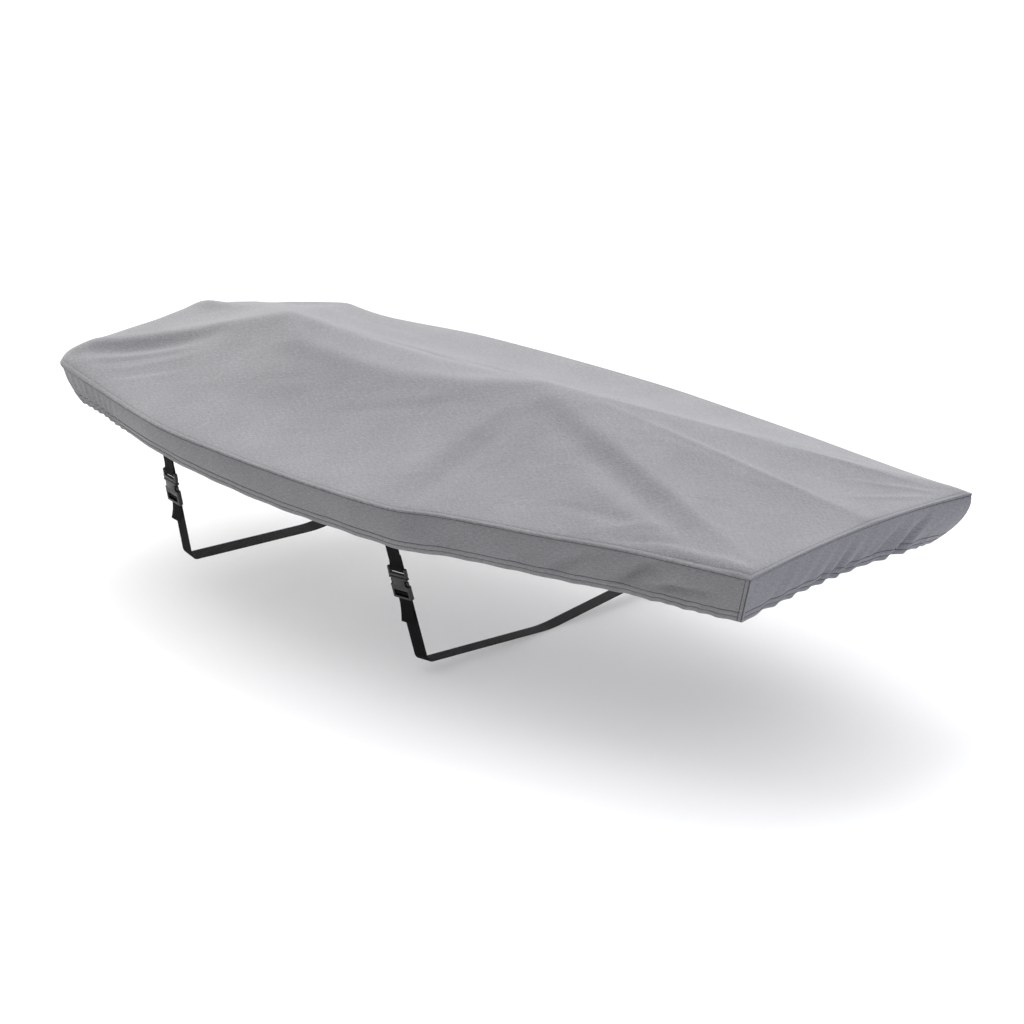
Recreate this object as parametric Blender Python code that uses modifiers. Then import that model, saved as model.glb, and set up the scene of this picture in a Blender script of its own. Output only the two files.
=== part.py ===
"""A fitted cover for a small blunt-bowed dinghy, as it sits on the boat.

The cloth is a top panel, one side band that runs from the port stern corner round the bow to the
starboard stern corner, and a stern band. Two webbing straps run from the side band under the hull
and back, each with a side-release buckle on the port side. The boat itself is left out.

X runs from bow to stern, -Y is the port side and +Z is up. The origin is on the centreline at mid
length, in the plane of the boat's gunwale. All sizes are in metres.
"""

import math
from collections import namedtuple

import bmesh
import bpy
import numpy as np
from mathutils import Matrix, Vector

# The cloth and the webbing.
BOW_X, STERN_X = -1.190, 1.178
LENGTH = STERN_X - BOW_X
CLOTH = 0.002
WEB = 0.002
WEB_WIDTH = 0.040
GAP = 0.0004
LIP = 0.008  # how far the top panel's folded edge hangs over the bands
CORNER_SETBACK = 0.0032  # from the stern band's outer face to the side band's ends

# The plan at the gunwale. flare is how far the side leans in for each metre of depth, drop is the
# height of the band, and the rolls are how far the cloth rises where it turns over the gunwale.
Station = namedtuple("Station", "x port starboard flare drop roll starboard_roll")
STATIONS = (
    Station(BOW_X, 0.345, 0.335, 0.40, 0.098, 0.028, 0.004),
    Station(-1.080, 0.384, 0.370, 0.38, 0.088, 0.024, 0.011),
    Station(-0.980, 0.414, 0.410, 0.36, 0.082, 0.018, 0.018),
    Station(-0.800, 0.471, 0.478, 0.28, 0.080, 0.012, 0.012),
    Station(-0.600, 0.524, 0.536, 0.22, 0.082, 0.009, 0.009),
    Station(-0.400, 0.548, 0.553, 0.25, 0.094, 0.007, 0.007),
    Station(-0.200, 0.565, 0.557, 0.28, 0.102, 0.006, 0.006),
    Station(0.000, 0.575, 0.553, 0.31, 0.104, 0.006, 0.006),
    Station(0.130, 0.576, 0.545, 0.315, 0.107, 0.006, 0.006),
    Station(0.220, 0.570, 0.535, 0.315, 0.110, 0.006, 0.006),
    Station(0.320, 0.535, 0.522, 0.31, 0.110, 0.006, 0.006),
    Station(0.450, 0.507, 0.505, 0.30, 0.111, 0.006, 0.006),
    Station(0.600, 0.480, 0.483, 0.28, 0.113, 0.006, 0.006),
    Station(0.800, 0.437, 0.448, 0.25, 0.116, 0.006, 0.006),
    Station(1.000, 0.415, 0.414, 0.21, 0.120, 0.006, 0.006),
    Station(STERN_X, 0.402, 0.388, 0.18, 0.120, 0.006, 0.006),
)
SHEER_SLOPE, SHEER_RISE = 0.011, 0.0135  # the gunwale's height at the bow and stern
BOW_CROWN, STERN_CROWN, CROWN_REACH = 0.014, 0.022, 0.16  # the transoms' raised middles
BOW_CORNER = 0.060
ROLL_REACH = 0.018
# How far the ends lean in, over the last END_FLAT in full, and how soon that dies away.
BOW_RAKE, STERN_RAKE, END_FLAT, RAKE_REACH = 0.40, 0.38, 0.012, 0.14

# Ridges of the taut cloth, each a line of (x, y, z) points, and how hard it holds the cloth up.
Ridge = namedtuple("Ridge", "hold line")
FORE_PEAK, AFT_PEAK = (-0.697, 0.0, 0.157), (0.175, 0.0, 0.169)
RIDGES = {
    "crest": Ridge(9.0, (FORE_PEAK, (-0.240, 0.030, 0.148), AFT_PEAK)),
    "swag": Ridge(
        4.0,
        (FORE_PEAK, (-0.560, -0.090, 0.137), (-0.400, -0.092, 0.131), (-0.220, -0.095, 0.131),
         (0.0, -0.065, 0.152), AFT_PEAK),
    ),
    "port_bow": Ridge(7.0, (FORE_PEAK, (-0.920, -0.210, 0.082), (-1.140, -0.318, 0.034))),
    "starboard_bow": Ridge(4.0, (FORE_PEAK, (-0.950, 0.160, 0.084), (-1.120, 0.270, 0.030))),
    "starboard_bow_side": Ridge(6.0, (FORE_PEAK, (-0.850, 0.350, 0.058), (-0.915, 0.440, 0.030))),
    "port_strap": Ridge(2.5, (AFT_PEAK, (0.215, -0.280, 0.079), (0.220, -0.540, 0.012))),
    "port_stern": Ridge(9.0, (AFT_PEAK, (0.700, -0.205, 0.101), (1.150, -0.388, 0.036))),
    "stern_middle": Ridge(6.0, (AFT_PEAK, (0.700, 0.0, 0.112), (1.160, 0.025, 0.054))),
    "starboard_stern": Ridge(7.0, (AFT_PEAK, (0.760, 0.175, 0.099), (1.150, 0.365, 0.037))),
}
SAG_LOAD = 1.40  # how strongly the cloth hangs between the ridges, in 1/m
RIDGE_REACH = 1.3  # in lattice cells

# Smaller folds: a line in plan, its height (below zero in a trough) and its half width. They die
# away over EDGE_CALM towards the panel's edge.
EDGE_CALM = 0.030
Fold = namedtuple("Fold", "x0 y0 x1 y1 height half_width")
FOLDS = (
    Fold(0.100, -0.050, -0.280, -0.290, 0.007, 0.032),
    Fold(0.060, -0.130, -0.230, -0.330, -0.006, 0.032),
    Fold(-0.600, -0.150, -0.080, -0.150, -0.009, 0.042),
    Fold(0.300, -0.125, 1.060, -0.400, -0.021, 0.050),
    Fold(0.560, -0.250, 0.790, -0.350, 0.008, 0.028),
    Fold(0.680, -0.415, 1.130, -0.385, 0.010, 0.022),
    Fold(0.320, 0.030, 1.080, 0.215, -0.014, 0.045),
    Fold(0.450, -0.035, 1.080, -0.120, -0.010, 0.050),
    Fold(0.350, 0.150, 0.980, 0.375, 0.008, 0.030),
    Fold(-0.760, -0.030, -1.130, -0.230, -0.016, 0.050),
    Fold(-1.110, -0.350, -0.780, -0.280, 0.006, 0.022),
    Fold(-1.080, -0.380, -0.840, -0.345, 0.005, 0.018),
    Fold(-0.560, 0.090, -0.200, 0.160, 0.007, 0.030),
)

# The hem's gathers: how far they stand out, their pitch along it, how much and how slowly the
# pitch wanders, and the x where they start and are full, at the bow and at the stern.
HEM_GATHER, GATHER_PITCH, CORNER_CALM = 0.007, 0.062, 0.030
WANDER, WANDER_RATE = 1.4, 11.0
GATHERED_BOW, GATHERED_STERN = (-0.85, -1.15), (0.50, 0.95)
HEM_SHARPNESS = 1.4  # above 1 keeps the gathers near the hem

# The hull that the straps run round, below the gunwale.
CHINE_DEPTH, CHINE_RISE, CHINE_LOWEST_X = 0.424, 0.10, 0.20
KEEL_DROP, CHINE_RADIUS, KEEL_RADIUS = 0.034, 0.022, 0.400
HULL_IN = 0.0084  # from the band's outer face in to the hull, past two layers of webbing

# The straps: where each crosses, how much webbing shows above its buckle, and its tail's length.
Strap = namedtuple("Strap", "name x shown tail")
STRAPS = (Strap("fore", -0.622, 0.038, 0.047), Strap("aft", 0.178, 0.058, 0.066))
SEWN_IN = 0.050  # how far a strap reaches up inside the band
FOLD_BACK = 0.045
TAIL_LIFT = 0.0115

# The buckle, in its own frame: across the strap, down it from the loop bar, and out from the hull.
BUCKLE_HALF_WIDTH, BUCKLE_THICK = 0.0285, 0.0118
BAR_OUT, BAR_RADIUS, BAR_TURN = 0.0047, 0.0019, 0.0033
EAR_TOP, PLUG_END = -0.008, 0.0170
SOCKET_END, LADDER_TOP, LADDER_END = 0.0800, 0.0550, 0.0730
CROSSBAR_AT = 0.0640
SLOT_HALF = 0.0218

# The top panel's mesh: its rows, closer near the edge, and the lattice that its folds relax on.
LENGTHWAYS, ACROSS = 60, 28
CROWDING, EDGE_ROW, SIDE_ROW = 0.35, 0.006, 0.010
LATTICE, ROUNDS = (118, 56), 2500


def smooth(x, xs, ys):
    """A curve through the points (xs, ys), read at x."""
    xs, ys = np.asarray(xs, float), np.asarray(ys, float)
    slopes = np.gradient(ys, xs)
    x = np.clip(np.asarray(x, float), xs[0], xs[-1])
    k = np.clip(np.searchsorted(xs, x) - 1, 0, len(xs) - 2)
    step = xs[k + 1] - xs[k]
    u = (x - xs[k]) / step
    return (
        (2 * u**3 - 3 * u**2 + 1) * ys[k]
        + (u**3 - 2 * u**2 + u) * step * slopes[k]
        + (3 * u**2 - 2 * u**3) * ys[k + 1]
        + (u**3 - u**2) * step * slopes[k + 1]
    )


def station(x, column):
    return smooth(x, [row.x for row in STATIONS], [getattr(row, column) for row in STATIONS])


def half_breadth(x, t):
    return np.where(np.asarray(t) < 0, station(x, "port"), station(x, "starboard"))


def seam_height(x, y):
    """The height of the seam, carried inwards as the plane that the boat's edges lie in."""
    u = 2 * x / LENGTH
    inwards = 1 - np.minimum(1, np.abs(y) / station(x, "port")) ** 2
    crown = (BOW_CROWN * np.exp((BOW_X - x) / CROWN_REACH)
             + STERN_CROWN * np.exp((x - STERN_X) / CROWN_REACH))
    return SHEER_SLOPE * u + SHEER_RISE * u**2 + crown * inwards


def in_plan(s, t):
    """The plan position of a point of the top panel: s runs 0 to 1 aft, t -1 to 1 to starboard."""
    x = BOW_X + LENGTH * s
    breadth = half_breadth(x, t)
    aft, side = x - BOW_X, breadth * (1 - np.abs(t))
    a, b = np.maximum(0, BOW_CORNER - aft), np.maximum(0, BOW_CORNER - side)
    shrink = np.maximum(a, b) / np.maximum(1e-9, np.hypot(a, b))
    x = np.where((a > 0) & (b > 0), BOW_CORNER - a * shrink + BOW_X, x)
    side = np.where((a > 0) & (b > 0), BOW_CORNER - b * shrink, side)
    return x, np.sign(t) * (breadth - side)


def along_line(x, y, line):
    """For each point: the distance to a line in plan, and the line's height at the nearest point."""
    nearest, height = np.full(x.shape, 9.0), np.zeros(x.shape)
    for (x0, y0, z0), (x1, y1, z1) in zip(line, line[1:]):
        dx, dy = x1 - x0, y1 - y0
        u = np.clip(((x - x0) * dx + (y - y0) * dy) / (dx * dx + dy * dy), 0, 1)
        away = np.hypot(x - x0 - u * dx, y - y0 - u * dy)
        height = np.where(away < nearest, z0 + u * (z1 - z0), height)
        nearest = np.minimum(away, nearest)
    return nearest, height


def edge_roll(x, s, t):
    """How far the cloth stands above the seam where it turns over the gunwale, and how far in."""
    side = half_breadth(x, t) * (1 - np.abs(t))
    near_edge = np.minimum(side, LENGTH * np.minimum(s, 1 - s))
    to_starboard = np.clip(2 * t - 1, 0, 1)
    roll = station(x, "roll") * (1 - to_starboard) + station(x, "starboard_roll") * to_starboard
    return roll * (1 - np.exp(-near_edge / ROLL_REACH)), near_edge


def stretched_cloth():
    """The taut cloth's height above the rolled edge, on an even lattice, relaxed between ridges."""
    s, t = np.meshgrid(np.linspace(0, 1, LATTICE[0] + 1), np.linspace(-1, 1, LATTICE[1] + 1),
                       indexing="ij")
    x, y = in_plan(s, t)
    cell = LENGTH / LATTICE[0]
    base = seam_height(x, y) + edge_roll(x, s, t)[0]
    hold, held = np.zeros(x.shape), np.zeros(x.shape)
    across = (station(x, "port") + station(x, "starboard")) / LATTICE[1]
    for ridge in RIDGES.values():
        away, height = along_line(x, y, ridge.line)
        grip = ridge.hold * np.maximum(0, 1 - away / (RIDGE_REACH * cell)) / cell**2
        hold += grip
        held += grip * (height - base)
    fore_aft, sideways = 1 / cell**2, (1 / across**2)[1:-1, 1:-1]
    hold, held = hold[1:-1, 1:-1], held[1:-1, 1:-1]
    z = np.zeros(x.shape)
    for _ in range(ROUNDS):
        pull = fore_aft * (z[2:, 1:-1] + z[:-2, 1:-1]) + sideways * (z[1:-1, 2:] + z[1:-1, :-2])
        z[1:-1, 1:-1] = (pull - SAG_LOAD + held) / (2 * fore_aft + 2 * sideways + hold)
        np.maximum(z, 0, out=z)
    return z


def read_lattice(z, s, t):
    a, b = s * LATTICE[0], (t + 1) / 2 * LATTICE[1]
    i = np.clip(a.astype(int), 0, LATTICE[0] - 1)
    j = np.clip(b.astype(int), 0, LATTICE[1] - 1)
    u, v = a - i, b - j
    return ((1 - u) * (1 - v) * z[i, j] + u * (1 - v) * z[i + 1, j]
            + (1 - u) * v * z[i, j + 1] + u * v * z[i + 1, j + 1])


def folds_at(x, y, near_edge):
    z = np.zeros(x.shape)
    for fold in FOLDS:
        dx, dy = fold.x1 - fold.x0, fold.y1 - fold.y0
        u = ((x - fold.x0) * dx + (y - fold.y0) * dy) / (dx * dx + dy * dy)
        along = np.clip(u, 0, 1)
        away = np.hypot(x - fold.x0 - along * dx, y - fold.y0 - along * dy)
        fade = np.sin(math.pi * np.clip(0.08 + 0.84 * along, 0, 1))
        z += fold.height * fade * np.exp(-((away / fold.half_width) ** 2))
    return z * (1 - np.exp(-near_edge / EDGE_CALM))


def crowded(count):
    """Values from 0 to 1, closer together at both ends."""
    even = np.linspace(0, 1, count + 1)
    return CROWDING * (1 - np.cos(math.pi * even)) / 2 + (1 - CROWDING) * even


ALONG = np.sort(np.append(crowded(LENGTHWAYS - 2), (EDGE_ROW, 1 - EDGE_ROW)))
OVER = 2 * np.sort(np.append(crowded(ACROSS - 2), (SIDE_ROW, 1 - SIDE_ROW))) - 1


def top_surface(s, t, lattice):
    x, y = in_plan(s, t)
    roll, near_edge = edge_roll(x, s, t)
    z = seam_height(x, y) + roll + read_lattice(lattice, s, t) + folds_at(x, y, near_edge)
    return x, y, z


def outline():
    """The seam's points in plan, clockwise from the port stern corner: s, t, x, y and normals."""
    port = [(s, -1.0) for s in ALONG[::-1]]
    bow = [(0.0, t) for t in OVER[1:-1]]
    starboard = [(s, 1.0) for s in ALONG]
    stern = [(1.0, t) for t in OVER[::-1][1:-1]]
    s, t = np.array(port + bow + starboard + stern).T
    x, y = in_plan(s, t)
    ahead = np.stack([np.roll(x, -1) - x, np.roll(y, -1) - y])
    ahead /= np.hypot(*ahead)
    outward = np.stack([ahead[1], -ahead[0]]) * -1
    before = np.roll(outward, 1, axis=1)
    mitre = outward + before
    mitre /= (mitre * outward).sum(axis=0)
    return x, y, mitre[0], mitre[1]


def between(values, u):
    """A row of values read at fractional places u, straight from one to the next."""
    return np.interp(u, np.arange(len(values)), values)


def new_object(mesh_object, name, look):
    mesh_object.name = name
    mesh_object.data.name = name
    mesh_object.data.materials.clear()
    mesh_object.data.materials.append(look)
    for owner in list(mesh_object.users_collection):
        owner.objects.unlink(mesh_object)
    PARTS.objects.link(mesh_object)
    return mesh_object


def material(name, color, roughness):
    look = bpy.data.materials.new(name)
    look.use_nodes = True
    surface = look.node_tree.nodes["Principled BSDF"]
    surface.inputs["Base Color"].default_value = (*color, 1.0)
    surface.inputs["Roughness"].default_value = roughness
    surface.inputs["Metallic"].default_value = 0.0
    return look


def grid(columns, rows, place):
    """A grid of faces whose point (i, j) is moved to place(i, j)."""
    bpy.ops.mesh.primitive_grid_add(x_subdivisions=columns, y_subdivisions=rows, size=2)
    sheet = bpy.context.active_object
    for vertex in sheet.data.vertices:
        i = round((vertex.co.x + 1) / 2 * columns)
        j = round((vertex.co.y + 1) / 2 * rows)
        vertex.co = place(i, j)
    sheet.data.update()
    return sheet


def thicken(sheet, thickness, offset):
    shell = sheet.modifiers.new("thickness", "SOLIDIFY")
    shell.thickness = thickness
    shell.offset = offset
    shell.use_even_offset = True


def make_top_panel(look):
    s, t = np.meshgrid(ALONG, OVER, indexing="ij")
    x, y, z = top_surface(s, t, stretched_cloth())
    sheet = grid(len(ALONG) - 1, len(OVER) - 1, lambda i, j: (x[i, j], y[i, j], z[i, j]))
    work = bmesh.new()
    work.from_mesh(sheet.data)
    rim = [edge for edge in work.edges if edge.is_boundary]
    hanging = bmesh.ops.extrude_edge_only(work, edges=rim)["geom"]
    lowered = [item for item in hanging if isinstance(item, bmesh.types.BMVert)]
    bmesh.ops.translate(work, verts=lowered, vec=(0, 0, -LIP))
    work.to_mesh(sheet.data)
    work.free()
    thicken(sheet, CLOTH, -1)
    return new_object(sheet, "top_panel", look)


def rake_at(x):
    """How far the ends lean in along X for each metre of depth."""
    fore = BOW_RAKE * np.exp(np.minimum(0, BOW_X - x + END_FLAT) / RAKE_REACH)
    aft = STERN_RAKE * np.exp(np.minimum(0, x - STERN_X + END_FLAT) / RAKE_REACH)
    return fore - aft


def gather_at(x, y):
    """How far the hem's gathers stand out, at the bow and the stern quarters only."""
    fore, aft = (np.clip((x - start) / (full - start), 0, 1)
                 for start, full in (GATHERED_BOW, GATHERED_STERN))
    run = x + y
    phase = 2 * math.pi * run / GATHER_PITCH + WANDER * np.sin(WANDER_RATE * run)
    wave = 0.5 + 0.5 * np.sin(phase)
    to_corner = np.hypot(x - STERN_X, half_breadth(x, y) - np.abs(y))
    calm = 1 - np.exp(-np.maximum(0, to_corner - END_FLAT) / CORNER_CALM)
    return wave * HEM_GATHER * np.maximum(fore, aft) * calm


def band_surface(x, y, nx, ny, depth_share):
    """A band's outer face below the seam point (x, y), inside the top panel's lip."""
    inset = CLOTH + GAP
    top_x, top_y = x - nx * inset, y - ny * inset
    drop = station(x, "drop") * depth_share
    lean = station(x, "flare") * np.sign(y) * np.minimum(1, np.abs(y) / half_breadth(x, y))
    out = gather_at(x, y) * depth_share**HEM_SHARPNESS
    z = seam_height(x, y) - CLOTH - 2 * GAP - drop
    return top_x + rake_at(x) * drop + nx * out, top_y - lean * drop + ny * out, z


def make_band(name, places, rows, look):
    """A band below the seam, at fractional places along the outline's list of points."""
    x, y, nx, ny = (between(np.append(row, row[0]), places) for row in outline())
    share, number = np.meshgrid(np.linspace(0, 1, rows + 1), np.arange(len(places)))
    px, py, pz = band_surface(x[number], y[number], nx[number], ny[number], share)
    sheet = grid(len(places) - 1, rows, lambda i, j: (px[i, j], py[i, j], pz[i, j]))
    thicken(sheet, CLOTH, -1)
    return new_object(sheet, name, look)


def finer(first, last, fine):
    """Places from first to last, with extra ones where fine(place) asks for them."""
    places = []
    for place in range(first, last):
        cuts = fine(place)
        places += [place + k / cuts for k in range(cuts)]
    return np.array(places + [last], float)


def make_bands(look):
    x, y, _, _ = outline()
    starboard_corner = 2 * (len(ALONG) - 1) + len(OVER) - 1
    last = starboard_corner + len(OVER) - 1

    def side_cuts(place):
        return 2 if x[place] < -0.85 or x[place] > 0.55 else 1

    setback = CORNER_SETBACK / np.hypot(x[1] - x[0], y[1] - y[0])
    side = finer(0, starboard_corner, side_cuts)
    side[0], side[-1] = setback, starboard_corner - setback
    stern = finer(starboard_corner, last, lambda place: 2)
    make_band("side_band", side, 3, look)
    make_band("stern_band", stern, 4, look)


def rounded(corners, radii, turns):
    """An open outline with each inner corner turned on its radius, in steps of an equal angle."""
    points = [Vector(corners[0])]
    for before, corner, after, radius, steps in zip(corners, corners[1:], corners[2:], radii, turns):
        before, corner, after = Vector(before), Vector(corner), Vector(after)
        back, on = (before - corner).normalized(), (after - corner).normalized()
        half = back.angle(on) / 2
        centre = corner + (back + on).normalized() * radius / math.sin(half)
        start = corner + back * radius / math.tan(half)
        end = corner + on * radius / math.tan(half)
        for k in range(steps + 1):
            arm = (start - centre).slerp(end - centre, k / steps)
            points.append(centre + arm.normalized() * radius)
    return points + [Vector(corners[-1])]


def chine_depth(x):
    return CHINE_DEPTH - CHINE_RISE * (x - CHINE_LOWEST_X) ** 2


def hull_section(x, flare):
    """The hull's section at x as (y, z) points, from the port gunwale round to the starboard one."""
    depth = chine_depth(x)
    top = float(seam_height(x, 1.0)) - CLOTH - GAP
    corners = []
    for side, column in ((-1, "port"), (1, "starboard")):
        slope = (station(x + 0.01, column) - station(x - 0.01, column)) / 0.02
        inset = (CLOTH + GAP) * math.hypot(1, slope) + HULL_IN * math.sqrt(1 + slope**2 + flare**2)
        y = side * (float(station(x, column)) - inset)
        corners.append([(y, top), (y - side * flare * depth, top - depth)])
    port, starboard = corners
    keel = (0.0, top - depth - KEEL_DROP)
    return rounded([port[0], port[1], keel, starboard[1], starboard[0]],
                   (CHINE_RADIUS, KEEL_RADIUS, CHINE_RADIUS), (8, 3, 8))


class HullLine:
    """The hull's section at x, read by the distance s down from the port gunwale."""

    def __init__(self, x):
        self.x = x
        flare = float(station(x, "flare"))  # one flare, so the webbing doesn't twist at its buckle
        self.points = [hull_section(x + shift, flare) for shift in (-0.005, 0.0, 0.005)]
        steps = [(b - a).length for a, b in zip(self.points[1], self.points[1][1:])]
        self.s = np.append(0, np.cumsum(steps))
        self.length = float(self.s[-1])

    def frame(self, s):
        """The point at s, with unit vectors across, along and out."""
        k = min(max(int(np.searchsorted(self.s, s)) - 1, 0), len(self.s) - 2)
        u = (s - self.s[k]) / (self.s[k + 1] - self.s[k])
        fore, here, aft = (line[k].lerp(line[k + 1], u) for line in self.points)
        before = self.points[1][k + 1] - self.points[1][k]
        along = Vector((0, *before)).normalized()
        if 0 < k < len(self.s) - 2:
            nearer = self.points[1][k + 1 + (u > 0.5)] - self.points[1][k - 1 + (u > 0.5)]
            corner = Vector((0, *nearer)).normalized()
            along = along.lerp(corner, abs(2 * u - 1)).normalized()
        lengthways = Vector((0.01, *(aft - fore)))
        out = lengthways.cross(along).normalized()
        out = out if out.dot(Vector((0, here.x, here.y))) > 0 else -out
        return Vector((self.x, *here)), along.cross(out).normalized(), along, out


def strip(name, hull, path, look):
    """Webbing whose middle runs through the (s, out) points of path."""
    frames = [(hull.frame(s), out) for s, out in path]

    def place(i, j):
        (point, across, _, outward), out = frames[i]
        return point + across * WEB_WIDTH * (j - 0.5) + outward * out

    sheet = grid(len(path) - 1, 1, place)
    thicken(sheet, WEB, 0)
    return new_object(sheet, name, look)


def turn_round(bar_s, first, last, steps):
    """Points round a buckle's bar: angle 0 is out from the hull, and 90 is down the strap."""
    angles = np.radians(np.linspace(first, last, steps + 1))
    return [(bar_s + BAR_TURN * math.sin(a), BAR_OUT + BAR_TURN * math.cos(a)) for a in angles]


def anchor_path(hem_s, bar_s):
    """From inside the band down over the loop bar, round it, and up behind."""
    outer, inner = 2 * GAP + 1.5 * WEB, GAP + WEB / 2
    return [
        (hem_s - SEWN_IN, outer),
        (hem_s, outer),
        (bar_s - 0.024, outer),
        (bar_s - 0.016, outer + 0.0009),
        (bar_s - 0.008, BAR_OUT + BAR_TURN - 0.0008),
        *turn_round(bar_s, 0, 180, 8),
        (bar_s - 0.012, inner),
        (bar_s - FOLD_BACK, inner),
    ]


def belly_path(strap, hull, bar_s, far_hem_s):
    """From the tail's free end up to the crossbar, round it, and under the hull to the far band."""
    outer, inner = 2 * GAP + 1.5 * WEB, GAP + WEB / 2
    crossbar = bar_s + CROSSBAR_AT
    end = bar_s + SOCKET_END
    tail = [(end + strap.tail * k, outer + TAIL_LIFT * k**2) for k in (1.0, 0.75, 0.5, 0.25)]
    ladder = [(end + 0.003, outer), (end - 0.0075, outer + 0.0001)]
    round_bar = turn_round(crossbar, 50, -180, 9)
    under = [(float(s), inner) for s in hull.s if end + 0.02 < s < far_hem_s - 0.05]
    rising = [(far_hem_s - 0.04, outer), (far_hem_s + SEWN_IN, outer)]
    return tail + ladder + round_bar + [(crossbar + 0.012, inner), (end + 0.012, inner)] + under + rising


def block(low, high, bevel=0.0):
    """A box in the buckle's frame, given by two opposite corners."""
    low, high = Vector(low), Vector(high)
    bpy.ops.mesh.primitive_cube_add(size=1, location=(low + high) / 2)
    box = bpy.context.active_object
    box.scale = high - low
    bpy.ops.object.transform_apply(location=True, rotation=False, scale=True)
    if bevel:
        edge = box.modifiers.new("edges", "BEVEL")
        edge.width = bevel
        edge.segments = 2
    return box


def rod(s, half_length):
    bpy.ops.mesh.primitive_cylinder_add(vertices=12, radius=BAR_RADIUS, depth=2 * half_length,
                                        location=(0, s, BAR_OUT), rotation=(0, math.pi / 2, 0))
    bar = bpy.context.active_object
    bpy.ops.object.transform_apply(location=True, rotation=True, scale=False)
    return bar


def combine(base, others, operation):
    for other in others:
        step = base.modifiers.new(operation.lower(), "BOOLEAN")
        step.operation = operation
        step.object = other
        other.hide_render = True
        other.display_type = "WIRE"
        for owner in list(other.users_collection):
            owner.objects.unlink(other)
        HELPERS.objects.link(other)
    return base


def make_plug(name, place, look):
    """The buckle's plug: a loop bar between two ears, a crosspiece and the two spring arms."""
    wide, thick = BUCKLE_HALF_WIDTH, BUCKLE_THICK
    cross = block((-wide, 0.0085, 0.0028), (wide, PLUG_END, thick - 0.0014), 0.0012)
    pieces = [rod(0.0, wide - 0.002)]
    for side in (-1, 1):
        ear = sorted((side * (SLOT_HALF - 0.0004), side * wide))
        pieces.append(block((ear[0], EAR_TOP, 0.0010), (ear[1], 0.0125, thick - 0.0020), 0.0018))
        arm = sorted((side * 0.0165, side * 0.0195))
        pieces.append(block((arm[0], 0.0150, 0.0042), (arm[1], 0.0400, 0.0082)))
        barb = sorted((side * 0.0180, side * 0.0272))
        pieces.append(block((barb[0], 0.0275, 0.0036), (barb[1], 0.0400, 0.0088), 0.0012))
    pieces.append(block((-0.0040, 0.0150, 0.0046), (0.0040, 0.0420, 0.0078)))
    plug = new_object(combine(cross, pieces, "UNION"), name, look)
    plug.matrix_world = place
    for piece in pieces:
        piece.matrix_world = place @ piece.matrix_world
    return plug


def make_socket(name, place, look):
    """The buckle's socket: a hollow body with a window at each side, and a ladder of two slots."""
    wide, thick = BUCKLE_HALF_WIDTH, BUCKLE_THICK
    start = PLUG_END + GAP
    body = block((-wide, start, 0.0006), (wide, SOCKET_END, thick), 0.0022)
    cuts = [
        block((-0.0215, start - 0.01, 0.0032), (0.0215, 0.0460, 0.0092)),
        block((-SLOT_HALF, LADDER_TOP, -0.01), (SLOT_HALF, LADDER_END, 0.03)),
        block((-SLOT_HALF, LADDER_END - 0.01, -0.01), (SLOT_HALF, SOCKET_END + 0.01, 0.0056)),
    ]
    for side in (-1, 1):
        window = sorted((side * 0.0190, side * 0.0400))
        cuts.append(block((window[0], 0.0225, -0.01), (window[1], 0.0415, 0.03), 0.0030))
    socket = combine(body, cuts, "DIFFERENCE")
    bars = [rod(CROSSBAR_AT, SLOT_HALF + 0.003)]
    combine(socket, bars, "UNION")
    new_object(socket, name, look)
    socket.matrix_world = place
    for piece in cuts + bars:
        piece.matrix_world = place @ piece.matrix_world
    return socket


def make_strap(strap, webbing, plastic):
    hull = HullLine(strap.x)
    lean = math.hypot(1, float(station(strap.x, "flare")))
    hem_s = float(station(strap.x, "drop")) * lean
    bar_s = hem_s + strap.shown - EAR_TOP
    point, across, along, out = hull.frame(bar_s)
    place = Matrix.Identity(4)
    for column, vector in enumerate((across, along, out, point)):
        for row in range(3):
            place[row][column] = vector[row]
    strip(f"{strap.name}_anchor_web", hull, anchor_path(hem_s, bar_s), webbing)
    strip(f"{strap.name}_belly_web", hull,
          belly_path(strap, hull, bar_s, hull.length - hem_s), webbing)
    make_plug(f"{strap.name}_buckle_plug", place, plastic)
    make_socket(f"{strap.name}_buckle_socket", place, plastic)


for old in list(bpy.data.objects):
    bpy.data.objects.remove(old, do_unlink=True)
PARTS = bpy.data.collections.new("boat cover")
HELPERS = bpy.data.collections.new("cutters")
for collection in (PARTS, HELPERS):
    bpy.context.scene.collection.children.link(collection)

canvas = material("grey canvas", (0.37, 0.37, 0.385), 0.90)
webbing = material("black webbing", (0.012, 0.012, 0.013), 0.75)
plastic = material("black nylon", (0.020, 0.020, 0.021), 0.42)
make_top_panel(canvas)
make_bands(canvas)
for row in STRAPS:
    make_strap(row, webbing, plastic)
for part in PARTS.objects:
    part.data.shade_smooth()
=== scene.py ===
"""Looks of a fitted cover for a small blunt-bowed dinghy: cloth, stitching, webbing and buckles.

Sizes are in metres where nothing else is said. X runs from bow to stern, -Y is the port side and
+Z is up.
"""

import math
from collections import namedtuple

import bpy
import numpy as np
from mathutils import Matrix, Vector


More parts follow.
